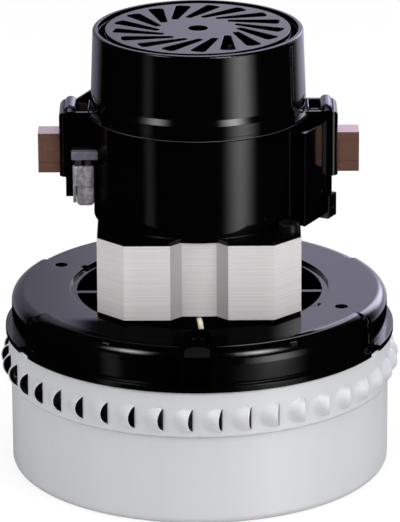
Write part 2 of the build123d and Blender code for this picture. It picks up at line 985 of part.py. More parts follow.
def cover_profile():
    """Corners and rounds of the cover's section, from the seat to the grille."""
    shoulder_low = housing_top + cover_flange_height
    shoulder_top = shoulder_low + cover_shoulder_height
    inside_low = cover_low_radius - cover_wall
    inside_top = cover_top_radius - cover_wall
    groove_floor = cover_top - rim_groove_depth
    points = [
        (inside_low, housing_top),
        (cover_flange_radius, housing_top),
        (cover_flange_radius, shoulder_low),
        (cover_low_radius, shoulder_top),
        (cover_top_radius, cover_top),
        (cover_groove_outer, cover_top),
        (cover_groove_outer, groove_floor),
        (cover_groove_inner, groove_floor),
        (cover_groove_inner, cover_top - grille_drop),
        (0, cover_top - grille_drop),
        (0, grille_under),
        (inside_top, grille_under),
    ]
    rounds = [
        (2, cover_edge_round),
        (4, cover_edge_round),
    ]
    return points, rounds


def fan_cover():
    """Moulded cover over the cooling fan, with a grille of swirled slots in its top."""
    points, rounds = cover_profile()
    body = spun(points, rounds)
    cutters = around(swirl_slot(), slot_count)
    cutters.append(disc(grille_hole_radius, housing_top, cover_top + overrun))
    body = body.cut(*cutters)
    side = quarter_turn - cover_flange_half_turn
    flange_end = housing_top + cover_flange_height + cover_shoulder_height
    for azimuth in (quarter_turn, -quarter_turn):
        body = body - sector_ring(
            cover_flange_radius + overrun,
            cover_low_radius,
            housing_top - overrun,
            flange_end,
            side,
            azimuth,
        )
    ribs = []
    for azimuth in (cover_flange_half_turn, cover_flange_half_turn - half_turn):
        rib = spun(
            [
                (cover_top_radius - cover_wall / 2, housing_top),
                (cover_low_radius + cover_rib_height, housing_top),
                (cover_top_radius + cover_rib_height, cover_top - rim_groove_depth),
                (cover_top_radius - cover_wall / 2, cover_top - rim_groove_depth),
            ],
            (),
            math.degrees(cover_rib_width / cover_top_radius),
        )
        ribs.append(turned(rib, azimuth - quarter_turn))
    return joined([body] + ribs)


# Brush gear, drawn for the right hand side and turned for the left


def brush_tube():
    """Folded brass tube with a closed outer end and a connecting tab on top."""
    half = tube_thickness / 2
    outer = block(tube_start, tube_end, -half, half, tube_bottom, tube_top)
    inner = block(
        tube_start - overrun,
        tube_end - tube_wall,
        -half + tube_wall,
        half - tube_wall,
        tube_bottom + tube_wall,
        tube_top - tube_wall,
    )
    tab_low = -half + seat_gap
    tab = block(
        tab_room_start + tab_side_gap,
        tab_room_end - tab_side_gap,
        tab_low,
        tab_low + tab_thickness,
        tube_top - tube_wall / 2,
        tube_top + tab_height,
    )
    return outer + tab - inner


def carbon_brush():
    """Carbon block whose inner face follows the commutator."""
    side = tube_thickness / 2 - tube_wall - slide_gap
    top = tube_height / 2 - tube_wall - slide_gap
    start = commutator_radius
    end = start + brush_length
    body = block(0, end, -side, side, brush_height - top, brush_height + top)
    face = disc(commutator_radius + brush_face_gap, brush_height - tube_height, brush_height + tube_height)
    return body - face


def brush_spring():
    """Pressure spring behind the brush, as the sleeve that its turns fill."""
    start = commutator_radius + brush_length + brush_spring_end_gap
    end = tube_end - tube_wall - brush_spring_end_gap
    length = end - start
    turn = Rot(0, quarter_turn, 0)
    outer = Cylinder(brush_spring_radius, length)
    inner = Cylinder(brush_spring_radius - brush_spring_wire, length + overrun)
    return Pos((start + end) / 2, 0, brush_height) * turn * (outer - inner)


def brush_clip():
    """Sprung clip in the pocket: a strap on the tube, an upright and a rolled end."""
    half = box_half_depth - pocket_wall - clip_side_gap
    bottom = tube_top + seat_gap
    upright = clip_upright_place
    roll_x = clip_roll_place
    roll_z = bottom + clip_roll_height - clip_roll_radius
    thickness = clip_thickness
    strap = block(upright, roll_x - thickness, -half, half, bottom, bottom + thickness)
    inner_leg = block(upright, upright + thickness, -half, half, bottom, bottom + clip_upright_height)
    outer_leg = block(tab_room_end, tab_room_end + thickness, -half, half, bottom, roll_z)
    barrel = Pos(roll_x, 0, roll_z) * Rot(quarter_turn, 0, 0)
    roll = barrel * (
        Cylinder(clip_roll_radius, half * 2)
        - Cylinder(clip_roll_radius - thickness, half * 2 + overrun)
    )
    mouth = block(
        tab_room_end + thickness,
        roll_x + clip_roll_radius + overrun,
        -half - overrun,
        half + overrun,
        roll_z - clip_roll_radius - overrun,
        roll_z,
    )
    opening = block(
        tab_room_start,
        tab_room_end,
        -half - overrun,
        -tube_thickness / 2 + tab_thickness + tab_face_gap,
        bottom - overrun,
        bottom + thickness + overrun,
    )
    return joined([strap, inner_leg, outer_leg, roll - mouth]) - opening


# Lead terminals


def lead_terminal():
    """Tinned push-on terminal on the front of the left brush box, below its crimp strap."""
    wall = -box_half_depth - terminal_gap
    middle = terminal_middle
    strap = terminal_block(middle, strap_width, strap_top, strap_height, terminal_thickness, wall)
    body = terminal_block(middle, body_width, body_top, body_height, terminal_thickness, wall)
    tongue_top = body_top + body_height
    tongue = terminal_block(
        middle, tongue_width, tongue_top - terminal_round, tongue_height, tongue_thickness, wall
    )
    blade_top = box_top - strap_top
    blade_bottom = box_top - tongue_top
    blade = block(
        middle - tongue_width / 2,
        middle + tongue_width / 2,
        wall - tab_blade_thickness - terminal_thickness / 2,
        wall - terminal_thickness / 2,
        blade_bottom,
        blade_top,
    )
    return joined([strap, body, tongue, blade])


def terminal_block(middle, width, top, height, thickness, wall):
    """One rounded piece of the terminal, hung a given way below the box's top."""
    shape = block(middle - width / 2, middle + width / 2, wall - thickness, wall,
                  box_top - top - height, box_top - top)
    front = shape.edges().filter_by(Axis.Z).group_by(Axis.Y)[0]
    return fillet(front, terminal_round)


def lead_socket():
    """Moulded lead socket on the outer face of the right chute."""
    centre, angle = socket_place()
    shape = Box(socket_width, socket_depth, socket_height,
                align=(Align.CENTER, Align.MAX, Align.MIN))
    front = shape.edges().group_by(Axis.Y)[0]
    shape = fillet(front, socket_round)
    hole = Pos(0, -socket_depth, socket_height / 2) * Rot(quarter_turn, 0, 0) * Cylinder(
        socket_hole_radius, socket_hole_depth * 2
    )
    low = chute_top - right_chute_depth
    return Pos(centre.X, centre.Y, low) * Rot(0, 0, angle) * Pos(0, -socket_wall_gap, 0) * (shape - hole)


# Bearings, shaft and armature


def bearing(bottom):
    """Shielded ball bearing drawn as one ring with the step of its shields."""
    bore = shaft_radius + run_gap
    top = bottom + bearing_width
    step = bearing_groove_depth
    rim = bearing_radius - bearing_ring_width
    core = bore + bearing_ring_width
    points = [
        (bore, bottom),
        (core, bottom),
        (core, bottom + step),
        (rim, bottom + step),
        (rim, bottom),
        (bearing_radius, bottom),
        (bearing_radius, top),
        (rim, top),
        (rim, top - step),
        (core, top - step),
        (core, top),
        (bore, top),
    ]
    return spun(points)


def shaft():
    """Stepped shaft from the lower nut to the cooling fan's nut."""
    low = nut_bottom() - shaft_end
    body_low = lower_bearing_top + shaft_shoulder_gap
    body_high = upper_bearing_bottom - bridge_floor - shaft_shoulder_gap
    points = [
        (0, low),
        (shaft_radius, low),
        (shaft_radius, body_low),
        (shaft_body_radius, body_low),
        (shaft_body_radius, body_high),
        (shaft_radius, body_high),
        (shaft_radius, shaft_top),
        (0, shaft_top),
    ]
    return spun(points)


def armature_core():
    """Slotted stack of the armature."""
    body = ring(armature_radius, shaft_body_radius, stator_bottom, stator_top)
    slot = block(armature_slot_centre, armature_radius + overrun, -armature_slot_width / 2,
                 armature_slot_width / 2, stator_bottom - overrun, stator_top + overrun)
    pocket = Pos(armature_slot_centre, 0, (stator_bottom + stator_top) / 2) * Cylinder(
        armature_slot_radius, stack_height + overrun * 2
    )
    return body.cut(*around(slot + pocket, armature_slots))


def armature_winding():
    """Winding: a rounded ring over each end of the core and the runs in its slots."""
    low = stator_bottom - winding_overhang
    high = stator_top + winding_overhang
    edge = winding_edge
    lower = spun(
        [
            (winding_inner_radius, low),
            (winding_radius - edge, low),
            (winding_radius, low + edge),
            (winding_radius, stator_bottom),
            (winding_inner_radius, stator_bottom),
        ]
    )
    upper = spun(
        [
            (winding_inner_radius, stator_top),
            (winding_radius, stator_top),
            (winding_radius, high - edge),
            (winding_radius - edge, high),
            (winding_inner_radius, high),
        ]
    )
    run = Pos(armature_slot_centre, 0, (stator_bottom + stator_top) / 2) * Cylinder(
        armature_slot_radius - seat_gap * 2, stack_height
    )
    return joined([lower, upper] + around(run, armature_slots))


def commutator():
    """Copper bars round the commutator, parted by narrow slits, with a riser below."""
    bottom = commutator_bottom
    top = commutator_top
    inner = commutator_radius - commutator_bar_depth
    riser = bottom - commutator_riser_height
    points = [
        (inner, riser),
        (commutator_radius + commutator_riser_reach, riser),
        (commutator_radius + commutator_riser_reach, bottom - commutator_riser_reach),
        (commutator_radius, bottom),
        (commutator_radius, top),
        (inner, top),
    ]
    slit = block(
        commutator_radius - commutator_slit_depth,
        commutator_radius + commutator_riser_reach + overrun,
        -commutator_slit / 2,
        commutator_slit / 2,
        riser - overrun,
        top + overrun,
    )
    return spun(points).cut(*around(slit, commutator_bars))


def commutator_core():
    """Moulded core between the shaft and the copper bars."""
    outer = commutator_radius - commutator_bar_depth
    return ring(outer, shaft_body_radius, commutator_bottom - commutator_riser_height, commutator_top)


# Rotating fans and the fixed guide between them


def lower_disc_heights():
    """Heights of the lower impeller: shroud, vanes and plate, from below."""
    shroud = lower_disc_bottom
    vanes = shroud + impeller_sheet
    plate = vanes + impeller_vane_height
    return shroud, vanes, plate


def guide_heights():
    """Heights of the fixed guide: lower plate, vanes and upper plate, from below."""
    plate = lower_disc_heights()[2] + impeller_sheet + diffuser_gap
    vanes = plate + diffuser_sheet
    upper = vanes + diffuser_vane_height
    return plate, vanes, upper


def upper_disc_heights():
    """Heights of the upper impeller: shroud, vanes and plate, from below."""
    shroud = guide_heights()[2] + diffuser_sheet + diffuser_gap
    vanes = shroud + impeller_sheet
    plate = vanes + impeller_vane_height
    return shroud, vanes, plate


def nut_bottom():
    """Underside of the nut that clamps the impellers."""
    return lower_disc_heights()[2] - washer_thickness - shaft_nut_height


def impeller_shroud(bottom):
    """Flat shroud with the impeller's eye."""
    return ring(impeller_radius, impeller_eye_radius, bottom, bottom + impeller_sheet)


def impeller_plate(bottom):
    """Back plate of an impeller, clamped on the shaft."""
    return ring(impeller_radius, shaft_radius, bottom, bottom + impeller_sheet)


def impeller_vanes(bottom):
    """Swept vanes of one impeller, each a separate sheet."""
    vane = curved_vane(
        impeller_eye_radius + impeller_sheet,
        impeller_radius - impeller_sheet,
        -impeller_vane_turn,
        impeller_vane_thickness,
        bottom,
        impeller_vane_height,
    )
    return Compound(children=around(vane, impeller_count_vanes))


def diffuser_plate():
    """Lower plate of the fixed guide, open at its rim for the air to come round."""
    bottom = guide_heights()[0]
    return ring(diffuser_plate_radius, spacer_radius + diffuser_bore_gap, bottom, bottom + diffuser_sheet)


def stage_diffuser():
    """Upper plate of the fixed guide with the return vanes under it."""
    plate, vanes, upper = guide_heights()
    outer = shell_radius - shell_wall - seat_gap
    top_plate = ring(outer, impeller_eye_radius, upper, upper + diffuser_sheet)
    vane = curved_vane(
        impeller_eye_radius + diffuser_sheet,
        diffuser_plate_radius - diffuser_sheet,
        impeller_vane_turn,
        impeller_vane_thickness,
        vanes,
        diffuser_vane_height,
    )
    return joined([top_plate] + around(vane, diffuser_vane_count))


def hexagon_nut(wall, bottom, height):
    """Hexagon nut on the shaft, measured to its corners."""
    body = rise(RegularPolygon(shaft_radius + wall, 6), bottom, bottom + height)
    return body - disc(shaft_radius, bottom - overrun, bottom + height + overrun)


def shaft_nut():
    """Hexagon nut under the lower impeller."""
    return hexagon_nut(shaft_nut_wall, nut_bottom(), shaft_nut_height)


def shaft_washer():
    """Washer between the nut and the lower impeller."""
    bottom = nut_bottom() + shaft_nut_height
    return ring(shaft_radius + washer_width, shaft_radius, bottom, bottom + washer_thickness)


def impeller_spacer():
    """Sleeve between the two impellers, through the fixed guide."""
    bottom = lower_disc_heights()[2] + impeller_sheet
    return ring(spacer_radius, shaft_radius, bottom, upper_disc_heights()[2])


def bearing_spacer():
    """Sleeve between the upper impeller and the lower bearing."""
    bottom = upper_disc_heights()[2] + impeller_sheet
    return ring(spacer_radius, shaft_radius, bottom, lower_bearing_bottom - run_gap)


def cooling_fan():
    """Moulded cooling fan with swept blades on a flat plate and a long collar."""
    bottom = fan_plate_bottom
    blades_low = bottom + fan_plate
    collar_low = bottom - fan_collar_height
    blade = curved_vane(
        fan_blade_inner_radius,
        fan_radius - fan_plate / 2,
        fan_blade_turn,
        fan_blade_thickness,
        blades_low,
        fan_blade_height,
    )
    pieces = [
        disc(fan_radius, bottom, blades_low),
        disc(shaft_radius + fan_hub_wall, bottom, fan_blades_top),
        disc(shaft_radius + fan_collar_wall, collar_low, bottom),
    ]
    bore = disc(shaft_radius, collar_low - overrun, fan_blades_top + overrun)
    return joined(pieces + around(blade, fan_blade_count)) - bore


def fan_nut():
    """Hexagon nut on top of the cooling fan."""
    return hexagon_nut(fan_nut_wall, fan_blades_top, fan_nut_height)


def all_parts():
    """Every piece under its name."""
    lower_shroud, lower_vanes, lower_plate = lower_disc_heights()
    upper_shroud, upper_vanes, upper_plate = upper_disc_heights()
    parts = {
        "fan_shell": fan_shell(),
        "louvre_band": louvre_band(),
        "fan_end_bracket": fan_end_bracket(),
        "lower_bearing": bearing(lower_bearing_bottom),
        "upper_bearing": bearing(upper_bearing_bottom),
        "stator_core": stator_core(),
        "field_coil_front": field_coil(0),
        "field_coil_back": field_coil(half_turn),
        "slot_liners": slot_liners(),
        "through_bolts": through_bolts(),
        "lead_sleeve": lead_sleeve(),
        "brush_end_housing": brush_end_housing(),
        "fan_cover": fan_cover(),
        "lead_terminal_left": lead_terminal(),
        "lead_socket_right": lead_socket(),
        "shaft": shaft(),
        "armature_core": armature_core(),
        "armature_winding": armature_winding(),
        "commutator": commutator(),
        "commutator_core": commutator_core(),
        "lower_impeller_shroud": impeller_shroud(lower_shroud),
        "lower_impeller_vanes": impeller_vanes(lower_vanes),
        "lower_impeller_plate": impeller_plate(lower_plate),
        "upper_impeller_shroud": impeller_shroud(upper_shroud),
        "upper_impeller_vanes": impeller_vanes(upper_vanes),
        "upper_impeller_plate": impeller_plate(upper_plate),
        "diffuser_plate": diffuser_plate(),
        "stage_diffuser": stage_diffuser(),
        "shaft_nut": shaft_nut(),
        "shaft_washer": shaft_washer(),
        "impeller_spacer": impeller_spacer(),
        "bearing_spacer": bearing_spacer(),
        "cooling_fan": cooling_fan(),
        "fan_nut": fan_nut(),
    }
    for side, turn in (("right", 0), ("left", half_turn)):
        parts["brush_tube_" + side] = turned(brush_tube(), turn)
        parts["carbon_brush_" + side] = turned(carbon_brush(), turn)
        parts["brush_spring_" + side] = turned(brush_spring(), turn)
        parts["brush_clip_" + side] = turned(brush_clip(), turn)
    return parts


os.makedirs("parts", exist_ok=True)
for name, shape in all_parts().items():
    export_step(shape, "parts/" + name + ".step")
    print(name, "solids", len(shape.solids()), "volume", round(shape.volume))
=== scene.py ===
import math

import bmesh
import bpy
import numpy as np
from mathutils import Matrix, Vector


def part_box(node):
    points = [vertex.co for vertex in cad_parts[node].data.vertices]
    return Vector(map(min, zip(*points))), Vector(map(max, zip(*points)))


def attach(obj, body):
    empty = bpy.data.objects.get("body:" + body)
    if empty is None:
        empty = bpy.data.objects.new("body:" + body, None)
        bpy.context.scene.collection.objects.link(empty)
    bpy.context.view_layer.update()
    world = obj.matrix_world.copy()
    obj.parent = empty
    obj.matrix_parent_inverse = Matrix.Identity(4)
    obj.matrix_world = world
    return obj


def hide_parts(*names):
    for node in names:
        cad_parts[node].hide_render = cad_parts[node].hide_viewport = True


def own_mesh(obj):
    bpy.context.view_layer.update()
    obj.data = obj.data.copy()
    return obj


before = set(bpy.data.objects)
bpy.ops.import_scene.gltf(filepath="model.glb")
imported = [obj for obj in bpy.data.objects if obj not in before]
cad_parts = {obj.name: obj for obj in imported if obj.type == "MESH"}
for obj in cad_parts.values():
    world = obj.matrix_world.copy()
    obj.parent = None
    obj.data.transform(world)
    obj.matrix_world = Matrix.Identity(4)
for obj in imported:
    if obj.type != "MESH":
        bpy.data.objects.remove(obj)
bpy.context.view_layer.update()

# Two stage vacuum motor. Lengths are in metres, azimuths in degrees from the front, towards the right.
mm = 0.001


# Shader maths: a value wraps a socket, and an expression on values adds its Math nodes
class Value:
    def __init__(self, paint, socket):
        self.paint = paint
        self.socket = socket

    def __add__(self, other):
        return self.paint.maths("ADD", self, other)

    def __radd__(self, other):
        return self.paint.maths("ADD", other, self)

    def __sub__(self, other):
        return self.paint.maths("SUBTRACT", self, other)

    def __rsub__(self, other):
        return self.paint.maths("SUBTRACT", other, self)

    def __mul__(self, other):
        return self.paint.maths("MULTIPLY", self, other)

    def __rmul__(self, other):
        return self.paint.maths("MULTIPLY", other, self)

    def __truediv__(self, other):
        return self.paint.maths("DIVIDE", self, other)

    def __rtruediv__(self, other):
        return self.paint.maths("DIVIDE", other, self)

    def __pow__(self, other):
        return self.paint.maths("POWER", self, other)

    def __mod__(self, other):
        return self.paint.maths("MODULO", self, other)

    def __gt__(self, other):
        return self.paint.maths("GREATER_THAN", self, other)

    def __abs__(self):
        return self.paint.maths("ABSOLUTE", self)


# The nodes of one material, or of the world. Its place is the coordinate that the patterns read
class Paint:
    def __init__(self, name, owner=None, place="Object"):
        self.material = owner or bpy.data.materials.new(name)
        self.material.use_nodes = True
        self.tree = self.material.node_tree
        self.tree.nodes.clear()
        self.place = self.node("TexCoord").outputs[place]

    # one node of a type, its settings first and then the values or links of its sockets
    def node(self, kind, settings=None, inputs=None):
        made = self.tree.nodes.new("ShaderNode" + kind)
        for name, value in (settings or {}).items():
            setattr(made, name, value)
        for name, value in (inputs or {}).items():
            self.feed(made.inputs[name], value)
        return made

    # a socket takes a link from a value or a socket, or else a plain number or colour
    def feed(self, socket, value):
        if isinstance(value, Value):
            self.tree.links.new(value.socket, socket)
        elif isinstance(value, bpy.types.NodeSocket):
            self.tree.links.new(value, socket)
        elif socket.type == "RGBA" and len(value) == 3:
            socket.default_value = (*value, 1.0)
        else:
            socket.default_value = value

    def maths(self, operation, *terms):
        made = self.node("Math", {"operation": operation})
        for index, term in enumerate(terms):
            self.feed(made.inputs[index], term)
        return Value(self, made.outputs[0])

    def clamp(self, value):
        made = self.node("Clamp", None, {"Value": value})
        return Value(self, made.outputs[0])

    # nothing below the low limit, one above the high one and an S curve between them
    def smooth(self, value, low, high):
        made = self.node(
            "MapRange",
            {"interpolation_type": "SMOOTHSTEP"},
            {"Value": value, "From Min": low, "From Max": high, "To Min": 0.0, "To Max": 1.0},
        )
        return Value(self, made.outputs["Result"])

    # one between two limits and nothing outside them, with soft ends
    def window(self, value, low, high, soft):
        rise = self.smooth(value, low - soft, low + soft)
        return rise * (1.0 - self.smooth(value, high - soft, high + soft))

    # the three coordinates, each as a value
    def axes(self):
        parts = self.node("SeparateXYZ", None, {"Vector": self.place})
        x, y, z = (Value(self, parts.outputs[name]) for name in "XYZ")
        return x, y, z

    def noise(self, scale, detail=3.0, roughness=0.55, place=None):
        made = self.node(
            "TexNoise",
            None,
            {"Vector": place or self.place, "Scale": scale, "Detail": detail, "Roughness": roughness},
        )
        return Value(self, made.outputs["Fac"])

    # the coordinates times a scale for each axis, for a grain that runs one way
    def stretched(self, scale):
        made = self.node("Mapping", None, {"Vector": self.place, "Scale": scale})
        return made.outputs["Vector"]

    def mix(self, factor, first, second):
        made = self.node("Mix", {"data_type": "RGBA"}, {0: factor, 6: first, 7: second})
        return made.outputs[2]

    # normals that follow a height, over the normals that are given
    def bump(self, height, strength, distance, normal=None):
        inputs = {"Height": height, "Strength": strength, "Distance": distance}
        if normal is not None:
            inputs["Normal"] = normal
        return self.node("Bump", None, inputs).outputs["Normal"]

    # normals that round the edges over within a radius
    def edges(self, radius):
        return self.node("Bevel", {"samples": 4}, {"Radius": radius}).outputs["Normal"]

    # one shader, or two of them and the share of the second
    def finish(self, inputs, others=None, share=None):
        whole = self.node("BsdfPrincipled", None, inputs)
        if others:
            second = self.node("BsdfPrincipled", None, others)
            whole = self.node("MixShader", None, {0: share, 1: whole.outputs[0], 2: second.outputs[0]})
        self.node("OutputMaterial", None, {"Surface": whole.outputs[0]})
        return self.material


# Camera of the photograph: tilt and roll in degrees, lens and sensor in millimetres
camera = {
    "place": (0.325 * mm, -1563.99 * mm, 615.95 * mm),
    "tilt": 71.0585,
    "roll": -0.2989,
    "lens": 298.5,
    "sensor": 36.0,
    "farthest": 20.0,
}


def addCamera(settings):
    data = bpy.data.cameras.new("photoCamera")
    data.lens = settings["lens"]
    data.sensor_width = settings["sensor"]
    data.sensor_fit = "AUTO"
    data.clip_end = settings["farthest"]
    made = bpy.data.objects.new("photoCamera", data)
    tilt = Matrix.Rotation(math.radians(settings["tilt"]), 4, "X")
    roll = Matrix.Rotation(math.radians(settings["roll"]), 4, "Z")
    made.matrix_world = Matrix.Translation(settings["place"]) @ tilt @ roll
    bpy.context.scene.collection.objects.link(made)
    bpy.context.scene.camera = made


# Studio: a white floor, soft lamps and cards that only reflections see
studio = {
    "floorSize": 6.0,
    "floorColour": (0.9, 0.9, 0.9),
    "floorGlow": 0.85,
    "surround": 0.62,
    "lamps": {
        "rightLamp": {"place": (1.1, -0.9, 0.8), "size": (0.7, 1.0), "power": 13.5},
        "leftLamp": {"place": (-1.2, -0.7, 0.8), "size": (0.6, 1.0), "power": 7.5},
        "topLamp": {"place": (0.1, -0.3, 1.5), "size": (0.9, 0.7), "power": 10.0},
    },
    "aim": (0.0, 0.0, 0.08),
    # limits in azimuth and elevation, the soft widths of both in degrees, and the strength
    "cards": [
        {"turn": (22, 66), "rise": (-60, -19.8), "soft": (6, 0.5), "strength": 0.16},
        {"turn": (39.5, 52.5), "rise": (-19.8, 16), "soft": (16, 0.5), "strength": 3.4},
        {"turn": (39.5, 52.5), "rise": (-16.8, 16), "soft": (16, 0.6), "strength": 1.9},
        {"turn": (35, 53), "rise": (38, 53), "soft": (13, 9), "strength": 16.0},
        {"turn": (141, 164), "rise": (8, 30), "soft": (8, 6), "strength": 3.5},
        {"turn": (152, 190), "rise": (27, 42), "soft": (5, 4), "strength": 1.6},
        {"turn": (-60, -50), "rise": (-60, 16), "soft": (5, 5), "strength": 0.25},
        {"turn": (-61, -46), "rise": (40, 52), "soft": (14, 10), "strength": 17.0},
    ],
    # shown to rays that point backwards by these shares, between a foot and a top in degrees
    "backdrop": {
        "from": 0.55,
        "to": 0.8,
        "rise": (-18, -15),
        "top": (42, 52),
        "across": (-0.05, 0.0),
        "leftLevel": 0.36,
        "strength": 0.86,
        "tint": (1.04, 1.0, 1.28),
    },
}


# The floor takes shadows, glows for the camera and lets reflections through to the world below it
def addFloor(settings):
    half = settings["floorSize"] / 2
    mesh = bpy.data.meshes.new("studioFloor")
    corners = [(-half, -half, 0), (half, -half, 0), (half, half, 0), (-half, half, 0)]
    mesh.from_pydata(corners, [], [(0, 1, 2, 3)])
    made = bpy.data.objects.new("studioFloor", mesh)
    bpy.context.scene.collection.objects.link(made)
    paint = Paint("floorPaper")
    light = paint.node("LightPath")
    seen = Value(paint, light.outputs["Is Camera Ray"]) * settings["floorGlow"]
    matt = paint.node("BsdfDiffuse", None, {"Color": settings["floorColour"]})
    glow = paint.node("Emission", None, {"Color": (1.0, 1.0, 1.0), "Strength": 1.0})
    both = paint.node("MixShader", None, {0: seen, 1: matt.outputs[0], 2: glow.outputs[0]})
    clear = paint.node("BsdfTransparent")
    glossy = light.outputs["Is Glossy Ray"]
    whole = paint.node("MixShader", None, {0: glossy, 1: both.outputs[0], 2: clear.outputs[0]})
    paint.node("OutputMaterial", None, {"Surface": whole.outputs[0]})
    mesh.materials.append(paint.material)


# Reflections see the sum of the cards: each is a soft window in azimuth times one in elevation
def reflectedStudio(paint, settings):
    x, y, z = paint.axes()
    turn = paint.maths("ARCTAN2", x, y * -1.0) * (180 / math.pi)
    rise = paint.maths("ARCSINE", z) * (180 / math.pi)
    back = settings["backdrop"]
    behind = paint.smooth(y, back["from"], back["to"]) * paint.smooth(rise, *back["rise"])
    behind = behind * (1.0 - paint.smooth(rise, *back["top"]))
    level = paint.smooth(x, *back["across"]) * (back["strength"] - back["leftLevel"]) + back["leftLevel"]
    total = behind * level
    for card in settings["cards"]:
        across = paint.window(turn, *card["turn"], card["soft"][0])
        total = total + across * paint.window(rise, *card["rise"], card["soft"][1]) * card["strength"]
    return total, behind


# The camera sees white, reflections see the cards, and the rest sees an even surround. Lamps don't reflect
def addLights(settings):
    world = bpy.data.worlds.new("studioSurround")
    bpy.context.scene.world = world
    paint = Paint("studioSurround", world, "Generated")
    light = paint.node("LightPath")
    glossy = Value(paint, light.outputs["Is Glossy Ray"])
    seen = Value(paint, light.outputs["Is Camera Ray"])
    total, behind = reflectedStudio(paint, settings)
    level = total * glossy + (1.0 - glossy) * settings["surround"]
    level = seen + (1.0 - seen) * level
    tint = paint.mix(behind * glossy, (1.0, 1.0, 1.0), settings["backdrop"]["tint"])
    back = paint.node("Background", None, {"Color": tint, "Strength": level})
    paint.node("OutputWorld", None, {"Surface": back.outputs[0]})
    world.cycles.sampling_method = "NONE"
    for name, lamp in settings["lamps"].items():
        data = bpy.data.lights.new(name, "AREA")
        data.shape = "RECTANGLE"
        data.size, data.size_y = lamp["size"]
        data.energy = lamp["power"]
        made = bpy.data.objects.new(name, data)
        made.visible_glossy = False
        place = Vector(lamp["place"])
        aim = Vector(settings["aim"]) - place
        made.matrix_world = Matrix.Translation(place) @ aim.to_track_quat("-Z", "Y").to_matrix().to_4x4()
        bpy.context.scene.collection.objects.link(made)


# Finishes. A noise is given as its scale, detail and roughness

# Drawn sheet: dull to bright by a noise that is stretched along the height and a wide cloud, and a painted
# shade line at the seam just under the band's lower edge
def shellSteel():
    look = {
        "colour": (0.59, 0.595, 0.615),
        "dull": (0.535, 0.54, 0.56),
        "drawn": (90.0, 4.0, 0.6),
        "drawnStretch": (1.0, 1.0, 0.08),
        "cloud": (22.0, 3.0, 0.5),
        "fine": (900.0, 2.0, 0.5),
        "metallic": 0.2,
        "rough": 0.48,
        "roughSpread": 0.16,
        "edge": 0.3 * mm,
        "seamLevel": 35.25 * mm,
        "seamHalf": 0.16 * mm,
        "seamShadeShare": 0.75,
        "seamShadeColour": (0.08, 0.08, 0.085),
    }
    paint = Paint("shellSteel")
    z = paint.axes()[2]
    level, half = look["seamLevel"], look["seamHalf"]
    seam = paint.window(z, level - half, level + half, 0.05 * mm)
    drawn = paint.noise(*look["drawn"], paint.stretched(look["drawnStretch"]))
    cloud = paint.noise(*look["cloud"])
    fine = paint.noise(*look["fine"])
    wear = paint.clamp(drawn * 0.7 + cloud * 0.5 - 0.1)
    colour = paint.mix(wear, look["dull"], look["colour"])
    # painted shade: a dark line just under the band's lower edge, where the step is in shadow
    colour = paint.mix(seam * look["seamShadeShare"], colour, look["seamShadeColour"])
    rough = look["rough"] + (cloud - 0.5) * look["roughSpread"]
    normal = paint.bump(drawn * 0.6 + fine * 0.25, 0.12, 0.05 * mm, paint.edges(look["edge"]))
    metallic = look["metallic"]
    return paint.finish({"Base Color": colour, "Metallic": metallic, "Roughness": rough, "Normal": normal})


# Inner wall of the louvred band: painted shade, its steel coloured nearly black with a cloud because little
# light reaches it
def shellInsideShade():
    look = {"dark": (0.004, 0.004, 0.005), "pale": (0.012, 0.012, 0.013), "cloud": 60.0, "rough": 0.8}
    paint = Paint("shellInsideShade")
    colour = paint.mix(paint.noise(look["cloud"]), look["dark"], look["pale"])
    return paint.finish({"Base Color": colour, "Metallic": 0.0, "Roughness": look["rough"]})


# Stack of sheets: height over the sheet's thickness gives the place within a sheet, a noise that is thin in
# height gives each sheet its tone, streaks run down over them, seams are darker, and the recess flanks get a
# painted shade
def laminationSteel():
    look = {
        "sheet": 0.5 * mm,
        "pale": (0.77, 0.74, 0.745),
        "dark": (0.575, 0.55, 0.555),
        "seam": 0.16,
        "recess": (6.5 * mm, 10.8 * mm),
        "recessFace": 38.0 * mm,
        "recessShade": (0.33, 0.315, 0.32),
        "recessShadeShare": 0.85,
        "layer": (1.0, 0.0, 0.5),
        "layerStretch": (4.0, 4.0, 1900.0),
        "streak": (70.0, 4.0, 0.6),
        "streakStretch": (1.0, 1.0, 0.12),
        "metallic": 0.25,
        "rough": 0.36,
        "roughSpread": 0.2,
        "edge": 0.15 * mm,
    }
    paint = Paint("laminationSteel")
    x, y, z = paint.axes()
    flank = paint.window(abs(x), *look["recess"], 0.1 * mm) * (abs(y) > look["recessFace"])
    step = (z / look["sheet"]) % 1.0
    seam = 1.0 - paint.smooth(step, 0.0, look["seam"]) * (1.0 - paint.smooth(step, 1.0 - look["seam"], 1.0))
    layer = paint.noise(*look["layer"], paint.stretched(look["layerStretch"]))
    streak = paint.noise(*look["streak"], paint.stretched(look["streakStretch"]))
    shade = paint.clamp(0.55 + (layer - 0.5) * 0.9 + (streak - 0.5) * 0.5 - seam * 0.28)
    colour = paint.mix(shade, look["dark"], look["pale"])
    # painted shade on the flanks of the recess
    colour = paint.mix(flank * look["recessShadeShare"], colour, look["recessShade"])
    rough = look["rough"] + (layer - 0.5) * look["roughSpread"]
    normal = paint.bump(layer * 0.5 - seam * 0.5, 0.35, 0.06 * mm, paint.edges(look["edge"]))
    metallic = look["metallic"]
    return paint.finish({"Base Color": colour, "Metallic": metallic, "Roughness": rough, "Normal": normal})
